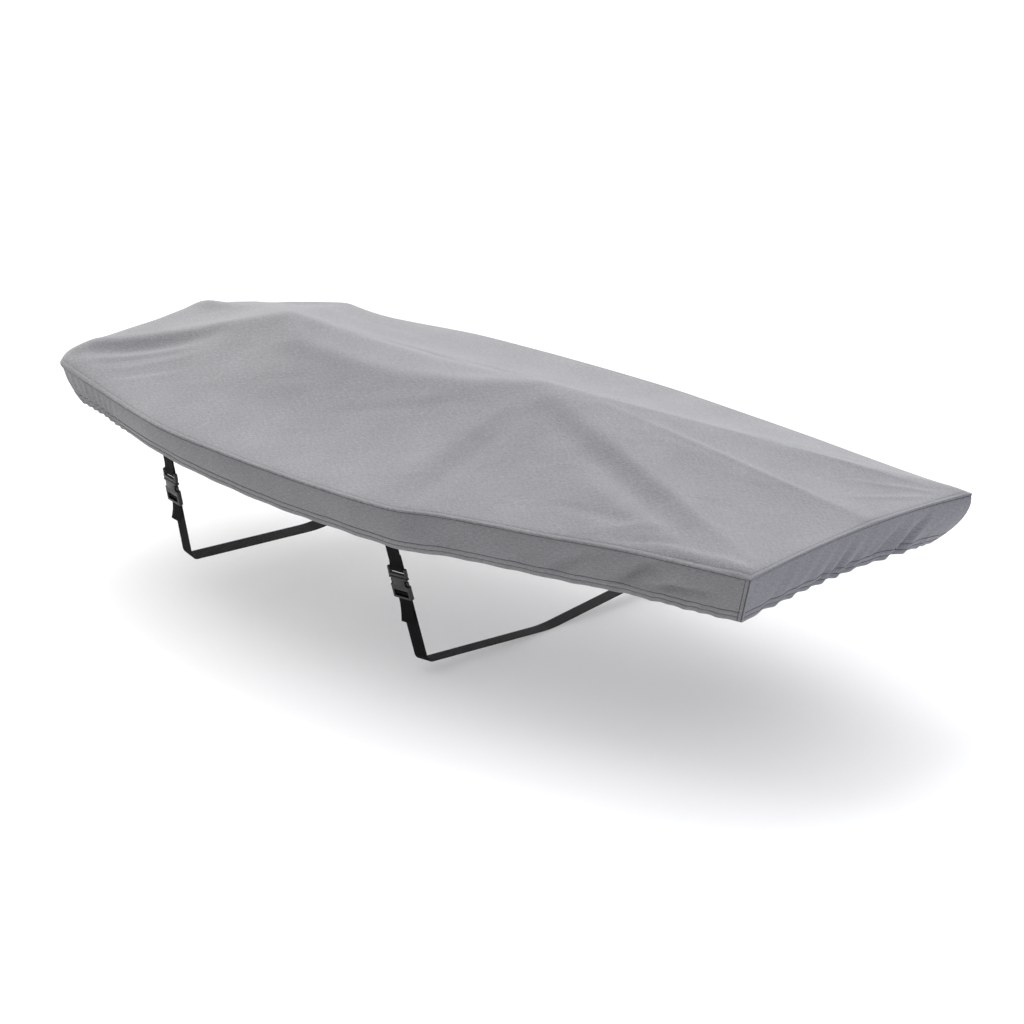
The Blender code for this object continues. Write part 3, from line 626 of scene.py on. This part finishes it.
def woven_canvas():
    """Solution-dyed polyester canvas, woven: matt, heathered, and a little fuzzy at a low angle."""
    look, tree, body = new_look("woven polyester canvas", Roughness=0.88, Sheen_Weight=0.18,
                                Sheen_Roughness=0.5, IOR=1.5, Specular_IOR_Level=0.25)
    cut = add(tree, "UVMap", uv_map="cut")["UV"]
    # Yarns of 1.1 mm, drawn about twice as coarse as they are so that the weave shows.
    yarn = add(tree, "Mapping", [(cut, "Vector")], Scale=(1 / 0.0022, 1 / 0.0022, 1))[0]
    warp, weft = (
        add(tree, "TexWave", [(yarn, "Vector")], Scale=0.5, bands_direction=way, Distortion=0.6,
            Detail=1.0)["Fac"]
        for way in "XY"
    )
    weave = add(tree, "Math", [(warp, 0), (weft, 1)], operation="MULTIPLY")[0]
    # Slubs, thicker stretches of yarn: 14 mm by 2 mm along the weft, 7 mm by 2 mm along the warp.
    slubs = []
    for scale in ((1 / 0.014, 1 / 0.002, 1), (1 / 0.002, 1 / 0.007, 1)):
        stretched = add(tree, "Mapping", [(cut, "Vector")], Scale=scale)[0]
        slubs.append(add(tree, "TexNoise", [(stretched, "Vector")], Scale=1.0, Detail=2.0,
                         Roughness=0.6)["Fac"])
    slub = add(tree, "Math", [(slubs[0], 0), (slubs[1], 1)], operation="ADD")[0]
    heather = add(tree, "MapRange", [(slub, "Value")], From_Min=0.80, From_Max=1.20)[0]
    tone = add(tree, "Mix", [(heather, 0)], {DARK: linear("#828285"), LIGHT: linear("#9b9b9e")},
               data_type="RGBA")[2]
    # Cloudy patches a hand's width across, from handling and from the dye.
    patches = add(tree, "TexNoise", [(cut, "Vector")], Scale=7.0, Detail=3.0,
                  Roughness=0.55)["Fac"]
    clouded = add(tree, "MapRange", [(patches, "Value")], From_Min=0.3, From_Max=0.7,
                  To_Min=0.94, To_Max=1.05)[0]
    between = add(tree, "MapRange", [(weave, "Value")], To_Min=0.94, To_Max=1.10)[0]
    shade = add(tree, "Math", [(clouded, 0), (between, 1)], operation="MULTIPLY")[0]
    final = add(tree, "VectorMath", [(tone, 0), (shade, 1)], operation="MULTIPLY")[0]
    relief = add(tree, "Math", [(weave, 0), (slub, 1)], operation="MULTIPLY")[0]
    bump = add(tree, "Bump", [(relief, "Height")], Strength=0.55, Distance=0.0006)[0]
    shown(tree, body, Base_Color=final, Normal=bump)
    return look


def woven_webbing():
    """Black polypropylene webbing: ribs across it, a slight shine on the yarns."""
    look, tree, body = new_look("black polypropylene webbing", Roughness=0.72, IOR=1.49,
                                Specular_IOR_Level=0.12)
    cut = add(tree, "UVMap", uv_map="cut")["UV"]
    # Ribs 2 mm apart, in a herringbone of 8 mm columns.
    folded = add(tree, "VectorMath", [(cut, 0)], {1: (1 / 0.002, 1 / 0.008, 1)},
                 operation="MULTIPLY")[0]
    apart = add(tree, "SeparateXYZ", [(folded, 0)])
    zigzag = add(tree, "Math", [(apart["Y"], 0)], {1: 0.5}, operation="PINGPONG")[0]
    run = add(tree, "Math", [(zigzag, 0), (apart["X"], 2)], {1: 3.0},
              operation="MULTIPLY_ADD")[0]
    turned = add(tree, "Math", [(run, 0)], {1: 2 * math.pi}, operation="MULTIPLY")[0]
    rib = add(tree, "Math", [(turned, 0)], operation="SINE")[0]
    tone = add(tree, "MapRange", [(rib, "Value")], From_Min=-1.0, From_Max=1.0)[0]
    mixed = add(tree, "Mix", [(tone, 0)], {DARK: linear("#060607"), LIGHT: linear("#121214")},
                data_type="RGBA")[2]
    bump = add(tree, "Bump", [(rib, "Height")], Strength=0.5, Distance=0.0004)[0]
    shown(tree, body, Base_Color=mixed, Normal=bump)
    return look


def moulded_nylon():
    """Buckles moulded in black nylon against a spark-eroded mould: satin, with a fine grain."""
    look, tree, body = new_look("moulded black nylon", Roughness=0.38, IOR=1.53)
    place = add(tree, "TexCoord")["Object"]
    # The grain is about 1 mm across and the scuffs 17 mm.
    grain = add(tree, "TexNoise", [(place, "Vector")], Scale=900.0, Detail=2.0)["Fac"]
    scuff = add(tree, "TexNoise", [(place, "Vector")], Scale=60.0, Detail=4.0)["Fac"]
    tone = add(tree, "Mix", [(scuff, 0)], {DARK: linear("#0e0e0f"), LIGHT: linear("#18181a")},
               data_type="RGBA")[2]
    gloss = add(tree, "MapRange", [(scuff, "Value")], To_Min=0.30, To_Max=0.48)[0]
    bump = add(tree, "Bump", [(grain, "Height")], Strength=0.15, Distance=0.0002)[0]
    shown(tree, body, Base_Color=tone, Roughness=gloss, Normal=bump)
    return look


def bonded_thread(name, dark, light):
    """Bonded polyester thread, twisted: the two plies show as darker and lighter bands."""
    look, tree, body = new_look(name, Roughness=0.55, IOR=1.5)
    place = add(tree, "TexCoord")["Object"]
    ply = add(tree, "TexNoise", [(place, "Vector")], Scale=800.0)["Fac"]
    tone = add(tree, "Mix", [(ply, 0)], {DARK: linear(dark), LIGHT: linear(light)},
               data_type="RGBA")[2]
    shown(tree, body, Base_Color=tone)
    return look


# ---- The cloth pieces ----

CANVAS = woven_canvas()
WEBBING = woven_webbing()
NYLON = moulded_nylon()
# The black thread also makes the thick run in the join, which paints the shadow under the top
# panel's lip as well as standing for its stitching.
THREAD = bonded_thread("black bonded thread", "#0a0a0b", "#171719")
PALE_THREAD = bonded_thread("grey bonded thread", "#59595c", "#6b6b6e")

EDGE_ROWS = np.array((0, 4, 7.8, 9.2, 10, 10.8, 12, 15, 20.5, 28.5)) / 1000
EDGE_TURN = 0.0022  # the radius that the top panel turns over its edge with
TOP_CELLS = (262, 118)


def rows_between(low, high, count):
    """Rows at EDGE_ROWS from each end of a stretch, and even ones between, as distances."""
    inner = np.linspace(low + EDGE_ROWS[-1], high - EDGE_ROWS[-1], count + 1)
    return np.concatenate([low + EDGE_ROWS[:-1], inner, high - EDGE_ROWS[-2::-1]])


def make_top():
    along = rows_between(0.0, LENGTH, TOP_CELLS[0]) / LENGTH
    s = np.repeat(along[:, None], TOP_CELLS[1] + 2 * len(EDGE_ROWS) - 1, axis=1)
    t = np.empty(s.shape)
    for i, here in enumerate(BOW_X + LENGTH * along):
        port, starboard = float(station(here, "port")), float(station(here, "starboard"))
        y = rows_between(-port, starboard, TOP_CELLS[1])
        t[i] = np.where(y < 0, y / port, y / starboard)
    points = top_surface(s, t)
    sheet = laid_grid(points, points[..., 0], points[..., 1])
    bpy.ops.object.mode_set(mode="EDIT")
    bpy.ops.mesh.select_mode(type="EDGE")
    bpy.ops.mesh.select_non_manifold(extend=False)
    bpy.ops.mesh.extrude_region_move(TRANSFORM_OT_translate={"value": (0, 0, -LIP)})
    bpy.ops.object.mode_set(mode="OBJECT")
    soften(sheet, EDGE_TURN, 3, 50)
    thicken(sheet, CLOTH, -1)
    return finished(sheet, "canvas_top", CANVAS, ["top_panel"]), flat_size(points)


SEAM = outline()
STARBOARD_CORNER = 2 * (len(ALONG) - 1) + len(OVER) - 1
LAST = STARBOARD_CORNER + len(OVER) - 1
HEM_HEIGHTS = np.array(
    (0, 3, 6.5, 9.8, 11.5, 12.5, 13.5, 15.2, 19, 22.8, 25, 26, 27, 29, 34)) / 1000
UPPER_ROWS = 9
UNDER_TURN = 0.0004  # the bands' upper edges end this far below the turn of the top panel's edge


def seam_at(places):
    """Columns of the seam's x, y and normals, at places counted in its points."""
    count = np.arange(len(SEAM[0]) + 1)
    return [np.interp(places, count, np.append(row, row[0]))[:, None] for row in SEAM]


def make_band(name, places, node):
    seam = seam_at(places)
    drop = station(seam[0], "drop")
    hem = drop - HEM_HEIGHTS[::-1]
    share = np.linspace(0, 1, UPPER_ROWS + 1)[:-1]
    depth = np.concatenate([UNDER_TURN + (hem[:, :1] - UNDER_TURN) * share, hem], axis=1)
    points = band_surface(*seam, depth)
    sheet = laid_grid(points, travelled(np.hstack(seam[:2]))[:, None], depth)
    thicken(sheet, CLOTH, -1)
    return finished(sheet, name, CANVAS, [node]), flat_size(points)


def band_places():
    x, y = SEAM[:2]
    setback = CORNER_SETBACK / math.hypot(x[1] - x[0], y[1] - y[0])
    side = np.arange(STARBOARD_CORNER + 1, dtype=float)
    side[0], side[-1] = setback, STARBOARD_CORNER - setback
    return side, np.arange(2 * STARBOARD_CORNER, 2 * LAST + 1) / 2


# ---- Stitching ----

STITCH, STITCH_PITCH, THREAD_RADIUS = 0.0037, 0.0043, 0.00080
STITCH_TAPER, STITCH_DIP = 0.45, 0.0006  # how far a stitch thins and sinks at its ends
# How thick each kind of thread is, as a share of THREAD_RADIUS. The join's is thickest, as its dark
# line also paints the shadow under the top panel's lip.
HEM_THREAD, JOIN_SHADOW_THREAD, CORNER_THREAD, CORNER_ROW_THREAD, SEAM_THREAD = 1.25, 1.7, 1.4, 1.2, 0.85
PULLED_IN = 0.75  # how deep every thread lies in the cloth, as a share of THREAD_RADIUS
NEARBY = 0.001  # how far ahead and behind a stitch looks to find its way
BESIDE = np.array([-0.0006, 0, 0.0006])  # the lines that are read on either side of a row
# The join's run sits just below the lip's edge. Its thickened black thread paints the shadow under
# the lip as well as standing for the stitching there.
JOIN_SHADOW_DEPTH = LIP - CLOTH - 2 * GAP + 0.0010
IN_CORNER, CORNER_DEPTH = 0.0012, 0.117


def one_stitch():
    """A single stitch: a short thread that dips at both ends, along X."""
    bpy.ops.mesh.primitive_cylinder_add(vertices=5, radius=THREAD_RADIUS, depth=STITCH,
                                        end_fill_type="TRIFAN", rotation=(0, math.pi / 2, 0))
    stitch = bpy.context.active_object
    bpy.ops.object.transform_apply()
    bpy.ops.object.mode_set(mode="EDIT")
    bpy.ops.mesh.select_all(action="SELECT")
    bpy.ops.mesh.bisect(plane_co=(0, 0, 0), plane_no=(1, 0, 0))
    bpy.ops.object.mode_set(mode="OBJECT")
    mesh = stitch.data
    for vertex in mesh.vertices:
        at_end = abs(vertex.co.x) / (STITCH / 2)
        vertex.co.y *= 1 - STITCH_TAPER * at_end**4
        vertex.co.z = vertex.co.z * (1 - STITCH_TAPER * at_end**4) - STITCH_DIP * at_end**2
    points = np.array([vertex.co[:] for vertex in mesh.vertices])
    faces = [list(face.vertices) for face in mesh.polygons]
    bpy.data.objects.remove(stitch, do_unlink=True)
    return points, faces


STITCH_POINTS, STITCH_FACES = one_stitch()


def sew(name, runs, look):
    """Stitches along each run of (points, normals, how thick), all in one piece."""
    stitches = []
    for line, normals, thick in runs:
        run = travelled(line)
        count = int(run[-1] / STITCH_PITCH)
        at = (np.arange(count) + 0.5) * run[-1] / count
        here, ahead, behind, up = (
            np.stack([np.interp(at + shift, run, column) for column in values.T], axis=1)
            for shift, values in ((0, line), (NEARBY, line), (-NEARBY, line), (0, normals))
        )
        along = unit(ahead - behind)
        up = unit(up - along * (up * along).sum(axis=1)[:, None])
        axes = np.stack([along, np.cross(up, along), up], axis=1)
        centres = here + up * THREAD_RADIUS * (thick - PULLED_IN)
        stitches.append(STITCH_POINTS * (1, thick, thick) @ axes + centres[:, None])
    points = np.concatenate(stitches).reshape(-1, 3)
    faces = [[first + k for k in face] for first in range(0, len(points), len(STITCH_POINTS))
             for face in STITCH_FACES]
    mesh = bpy.data.meshes.new(name)
    mesh.from_pydata(points.tolist(), [], faces)
    return finished(linked(name, mesh), name, look, angle=60)


def strand(surface, thick=1.0):
    """The middle line of three close lines of a surface, with its normals and its thread."""
    normals = unit(np.cross(np.gradient(surface, axis=0), np.gradient(surface, axis=1)))
    return surface[:, 1], normals[:, 1], thick


def band_run(places, thick, depth=0.0, above_hem=None):
    """Stitching along a band, at a depth below its seam or a height above its hem."""
    seam = seam_at(places)
    if above_hem is not None:
        depth = station(seam[0], "drop") - above_hem
    return strand(band_surface(*seam, depth + BESIDE), thick)


def hem_runs():
    """Two rows above the hem, and a thick black run in the join below the top panel's lip: partly
    the join's stitching, partly a painted shadow under the lip.
    """
    bands = band_places()
    rows = [band_run(band[2:-2], HEM_THREAD, above_hem=height)
            for band in bands for height in HEM_ROWS]
    return rows + [band_run(band, JOIN_SHADOW_THREAD, JOIN_SHADOW_DEPTH) for band in bands]


def corner_runs():
    """The side band's stitching beside each stern corner: in the join, and CORNER_ROW from it."""
    runs = []
    side = band_places()[0]
    step = LENGTH / (len(ALONG) - 1)
    depth = np.linspace(LIP, CORNER_DEPTH, 40)[None, :]
    for end, inwards in ((side[0], 1), (side[-1], -1)):
        for away, thick in ((IN_CORNER, CORNER_THREAD), (CORNER_ROW, CORNER_ROW_THREAD)):
            places = end + inwards * away / step + np.array([-0.06, 0, 0.06])
            seam = seam_at(np.clip(places, side[0], side[-1]))
            line, normals, _ = strand(np.swapaxes(band_surface(*seam, depth), 0, 1))
            runs.append((line, -normals, thick))
    return runs


def seam_runs():
    """The stitching that runs round the top panel, 10 mm in from its edge."""
    inset = SEAM_ROW + BESIDE[None, :] * 4 / 3
    lines = []
    s = np.linspace(SEAM_ROW / LENGTH, 1 - SEAM_ROW / LENGTH, 520)[:, None]
    for side, column in ((-1, "port"), (1, "starboard")):
        lines.append((s, side * (1 - inset / station(BOW_X + LENGTH * s, column))))
    t = np.linspace(-0.97, 0.97, 180)[:, None]
    lines += [(inset / LENGTH, t), (1 - inset / LENGTH, t)]
    runs = []
    for s, t in lines:
        line, normals, _ = strand(top_surface(*np.broadcast_arrays(s, t)))
        runs.append((line, np.where(normals[:, 2:] > 0, normals, -normals), SEAM_THREAD))
    return runs


# ---- Straps ----

def rounded(corners, radii, turns):
    """An open outline with each inner corner turned on its radius, in steps of an equal angle."""
    corners = [Vector(corner) for corner in corners]
    points = corners[:1]
    threes = zip(corners, corners[1:], corners[2:])
    for (before, corner, after), radius, steps in zip(threes, radii, turns):
        back, on = (before - corner).normalized(), (after - corner).normalized()
        half = back.angle(on) / 2
        centre = corner + (back + on).normalized() * radius / math.sin(half)
        start, end = (corner + way * radius / math.tan(half) for way in (back, on))
        for k in range(steps + 1):
            arm = (start - centre).slerp(end - centre, k / steps)
            points.append(centre + arm.normalized() * radius)
    return points + corners[-1:]


def hull_section(x, flare):
    """The hull's section at x as (y, z) points, from the port gunwale to the starboard one."""
    depth = CHINE_DEPTH - CHINE_RISE * (x - CHINE_LOWEST_X) ** 2
    top = float(seam_height(x, 1.0)) - CLOTH - GAP
    corners = []
    for side, column in ((-1, "port"), (1, "starboard")):
        slope = (station(x + NEAR, column) - station(x - NEAR, column)) / (2 * NEAR)
        inset = (CLOTH + GAP) * math.hypot(1, slope) + HULL_IN * math.sqrt(1 + slope**2 + flare**2)
        y = side * (float(station(x, column)) - inset)
        corners.append([(y, top), (y - side * flare * depth, top - depth)])
    port, starboard = corners
    keel = (0.0, top - depth - KEEL_DROP)
    return rounded([port[0], port[1], keel, starboard[1], starboard[0]],
                   (CHINE_RADIUS, KEEL_RADIUS, CHINE_RADIUS), (16, 8, 16))


class HullLine:
    """The hull's section at x, read by the distance s down from the port gunwale."""

    def __init__(self, x):
        self.x = x
        flare = float(station(x, "flare"))
        self.points = [hull_section(x + shift, flare) for shift in (-NEAR / 2, 0.0, NEAR / 2)]
        steps = [(b - a).length for a, b in zip(self.points[1], self.points[1][1:])]
        self.s = np.append(0, np.cumsum(steps))
        self.length = float(self.s[-1])

    def frame(self, s):
        """The point at s, with unit vectors across, along and out."""
        k = min(max(int(np.searchsorted(self.s, s)) - 1, 0), len(self.s) - 2)
        u = (s - self.s[k]) / (self.s[k + 1] - self.s[k])
        fore, here, aft = (line[k].lerp(line[k + 1], u) for line in self.points)
        before = self.points[1][k + 1] - self.points[1][k]
        along = Vector((0, *before)).normalized()
        if 0 < k < len(self.s) - 2:
            nearer = self.points[1][k + 1 + (u > 0.5)] - self.points[1][k - 1 + (u > 0.5)]
            corner = Vector((0, *nearer)).normalized()
            along = along.lerp(corner, abs(2 * u - 1)).normalized()
        lengthways = Vector((NEAR, *(aft - fore)))
        out = lengthways.cross(along).normalized()
        out = out if out.dot(Vector((0, here.x, here.y))) > 0 else -out
        return Vector((self.x, *here)), along.cross(out).normalized(), along, out


def turn_round(bar_s, first, last, steps):
    """Points round a buckle's bar: angle 0 is out from the hull, and 90 is down the strap."""
    angles = np.radians(np.linspace(first, last, steps + 1))
    return [(bar_s + BAR_TURN * math.sin(a), BAR_OUT + BAR_TURN * math.cos(a)) for a in angles]


OUTER, INNER = 2 * GAP + 1.5 * WEB, GAP + WEB / 2  # the two layers' distances from the hull


def anchor_path(hem_s, bar_s):
    """From inside the band down over the loop bar, round it, and up behind."""
    top = BAR_OUT + BAR_TURN
    return [
        (hem_s - SEWN_IN, OUTER),
        *((bar_s - short, OUTER + rise) for short, rise in TO_BAR),
        (bar_s - 0.008, top - 0.0008),
        (bar_s - 0.004, top - 0.0001),
        *turn_round(bar_s, 0, 180, 14),
        (bar_s - 0.006, INNER + 0.0001),
        (bar_s - 0.012, INNER),
        (bar_s - FOLD_BACK, INNER),
    ]


def belly_path(strap, hull, bar_s, far_hem_s):
    """From the tail's free end up to the crossbar, round it, and under the hull to the far band."""
    crossbar, end = bar_s + CROSSBAR_AT, bar_s + SOCKET_END
    return [
        *((end + strap.tail * k, OUTER + TAIL_LIFT * k**2) for k in np.linspace(1.0, 0.08, 13)),
        (end + 0.003, OUTER),
        (end - 0.0075, OUTER + 0.0001),
        *turn_round(crossbar, 50, -180, 16),
        (crossbar + 0.012, INNER),
        (end + 0.012, INNER),
        *((float(s), INNER) for s in hull.s if end + 0.02 < s < far_hem_s - 0.05),
        (far_hem_s - 0.04, OUTER),
        (far_hem_s + SEWN_IN, OUTER),
    ]


def finer_path(path, longest):
    """The same path with no step over the longest."""
    points = [path[0]]
    for (s0, out0), (s1, out1) in zip(path, path[1:]):
        cuts = max(1, math.ceil(math.hypot(s1 - s0, out1 - out0) / longest))
        points += [(s0 + (s1 - s0) * k / cuts, out0 + (out1 - out0) * k / cuts)
                   for k in range(1, cuts + 1)]
    return points


# The webbing's section: places across it, and how much thinner it is at its woven edges.
ACROSS_WEB = np.array([-0.5, -0.485, -0.46, -0.36, -0.18, 0.0, 0.18, 0.36, 0.46, 0.485, 0.5])


def strap_points(hull, path):
    rows = []
    for s, out in path:
        point, across, _, outward = hull.frame(s)
        rows.append([tuple(point + across * WEB_WIDTH * place + outward * out)
                     for place in ACROSS_WEB])
    return np.array(rows)


def make_web(name, node, hull, path):
    points = strap_points(hull, finer_path(path, 0.006))
    run = travelled(points[:, len(ACROSS_WEB) // 2])
    web = laid_grid(points, run[:, None], ACROSS_WEB * WEB_WIDTH)
    thicken(web, WEB, 0)
    finished(web, name, WEBBING, [node])
    return web


# ---- Buckles ----

def moulded(block, side=1):
    """One of the buckle's blocks, on the side of its middle that is given."""
    across = sorted(side * place for place in block.across)
    low, high = (Vector(corner) for corner in zip(across, block.along, block.out))
    bpy.ops.mesh.primitive_cube_add(size=1, location=(low + high) / 2)
    box = bpy.context.active_object
    box.scale = high - low
    bpy.ops.object.transform_apply(location=True, rotation=False, scale=True)
    if block.rounding:
        soften(box, block.rounding, block.steps)
        apply_all(box)
    return box


def rod(s, half_length):
    bpy.ops.mesh.primitive_cylinder_add(vertices=28, radius=BAR_RADIUS, depth=2 * half_length,
                                        location=(0, s, BAR_OUT), rotation=(0, math.pi / 2, 0))
    bar = bpy.context.active_object
    bpy.ops.object.transform_apply(location=True, rotation=True, scale=False)
    return bar


def combine(base, others, operation):
    for other in others:
        step = base.modifiers.new(operation.lower(), "BOOLEAN")
        step.operation = operation
        step.solver = "EXACT"
        step.object = other
    apply_all(base)
    for other in others:
        bpy.data.objects.remove(other, do_unlink=True)
    return base


def make_plug():
    """The buckle's plug: a loop bar between two ears, a crosspiece and the two spring arms."""
    pieces = [rod(0.0, HALF_WIDTH - 0.002)]
    pieces += [moulded(block, side) for side in (-1, 1) for block in (EAR, ARM, BARB)]
    return combine(moulded(CROSSPIECE), pieces + [moulded(TONGUE)], "UNION")


def make_socket():
    """The buckle's socket: a hollow body with a window at each side, and a ladder of two slots."""
    cuts = [moulded(block) for block in (HOLLOW, LADDER, TAIL_WAY)]
    cuts += [moulded(WINDOW, side) for side in (-1, 1)]
    socket = combine(moulded(SHELL), cuts, "DIFFERENCE")
    return combine(socket, [rod(CROSSBAR_AT, SLOT_HALF + 0.003)], "UNION")


def placed_copy(piece, place, name, node):
    """A copy of a piece, with its place in its mesh."""
    copy = linked(name, piece.data.copy())
    copy.data.transform(place)
    soften(copy, 0.0003, 2, 35)
    return finished(copy, name, NYLON, [node], angle=35)


def make_strap(strap, plug, socket):
    name = strap.name
    hull = HullLine(strap.x)
    lean = math.hypot(1, float(station(strap.x, "flare")))
    hem_s = float(station(strap.x, "drop")) * lean
    bar_s = hem_s + strap.shown - EAR_TOP
    point, across, along, out = hull.frame(bar_s)
    place = Matrix((across, along, out)).transposed().to_4x4()
    place.translation = point
    make_web(f"{name}_anchor_strap", f"{name}_anchor_web", hull, anchor_path(hem_s, bar_s))
    make_web(f"{name}_belly_strap", f"{name}_belly_web", hull,
             belly_path(strap, hull, bar_s, hull.length - hem_s))
    placed_copy(plug, place, f"{name}_plug", f"{name}_buckle_plug")
    placed_copy(socket, place, f"{name}_socket", f"{name}_buckle_socket")


# ---- Putting it together ----


def flat_size(points):
    """The longest column and the longest row of a laid surface."""
    columns = np.linalg.norm(np.diff(points, axis=1), axis=-1).sum(axis=1)
    rows = np.linalg.norm(np.diff(points, axis=0), axis=-1).sum(axis=0)
    return float(columns.max()), float(rows.max())


top, top_flat = make_top()
side_places, stern_places = band_places()
side, side_flat = make_band("canvas_side_band", side_places, "side_band")
stern, stern_flat = make_band("canvas_stern_band", stern_places, "stern_band")
seam_stitching = sew("seam_stitching", seam_runs(), PALE_THREAD)
# Besides the hem rows and the corner stitching, this holds the thick black run in the join. That
# run is partly stitching and partly a painted shadow under the lip.
hem_stitching = sew("hem_stitching", hem_runs() + corner_runs(), THREAD)

plug_pattern, socket_pattern = make_plug(), make_socket()
for row in STRAPS:
    make_strap(row, plug_pattern, socket_pattern)
for pattern in (plug_pattern, socket_pattern):
    bpy.data.objects.remove(pattern, do_unlink=True)


# ---- Studio ----

# The studio's soft boxes: their width in degrees, their strength, and where they stand.
SOFT_BOXES = (
    ("overhead soft box", 100, 2.05, (0.0, 0.0, 5.0)),
    ("soft box to starboard", 60, 1.85, (-2.8, 4.6, 3.0)),
    ("soft box ahead", 60, 2.84, (-4.0, 1.5, 3.0)),
)


def white_floor():
    bpy.ops.mesh.primitive_plane_add(size=80, location=(0, 0, FLOOR_Z))
    floor = bpy.context.active_object
    floor.name = "floor"
    look = new_look("back-lit white sweep", Roughness=0.9, Base_Color=linear("#cdcdcd"),
                    Emission_Color=(1, 1, 1, 1), Emission_Strength=0.35)[0]
    floor.data.materials.append(look)


def aimed(name, light, place, aim):
    lamp = linked(name, light)
    lamp.location = place
    lamp.rotation_euler = (Vector(aim) - Vector(place)).to_track_quat("-Z", "Y").to_euler()


def studio():
    world = bpy.data.worlds.new("soft studio")
    bpy.context.scene.world = world
    world.use_nodes = True
    background = world.node_tree.nodes["Background"]
    background.inputs["Color"].default_value = (1, 1, 1, 1)
    background.inputs["Strength"].default_value = 0.002
    for name, wide, energy, place in SOFT_BOXES:
        box = bpy.data.lights.new(name, "SUN")
        box.angle = math.radians(wide)
        box.energy = energy
        aimed(name, box, place, (0, 0, 0))
    fill = bpy.data.lights.new("blue fill", "AREA")
    fill.shape = "DISK"
    fill.size = 2.0
    fill.energy = 36
    fill.color = (0.30, 0.40, 1.0)
    aimed("blue fill astern", fill, (6.5, 0.6, 1.6), (0, 0, -0.1))
    bpy.context.scene.view_settings.view_transform = "Standard"


def camera():
    azimuth, elevation, distance = math.radians(43.079), math.radians(19.6095), 13.81598
    target, level = Vector((0.06677, 0.0, -0.19001)), math.cos(elevation)
    back = Vector((math.sin(azimuth) * level, -math.cos(azimuth) * level, math.sin(elevation)))
    lens = bpy.data.cameras.new("camera")
    lens.lens = 200
    lens.sensor_width = 36
    lens.clip_end = 200
    eye = linked("camera", lens)
    eye.location = target + back * distance
    eye.rotation_euler = (math.pi / 2 - elevation, 0, azimuth)
    bpy.context.scene.camera = eye


white_floor()
studio()
camera()
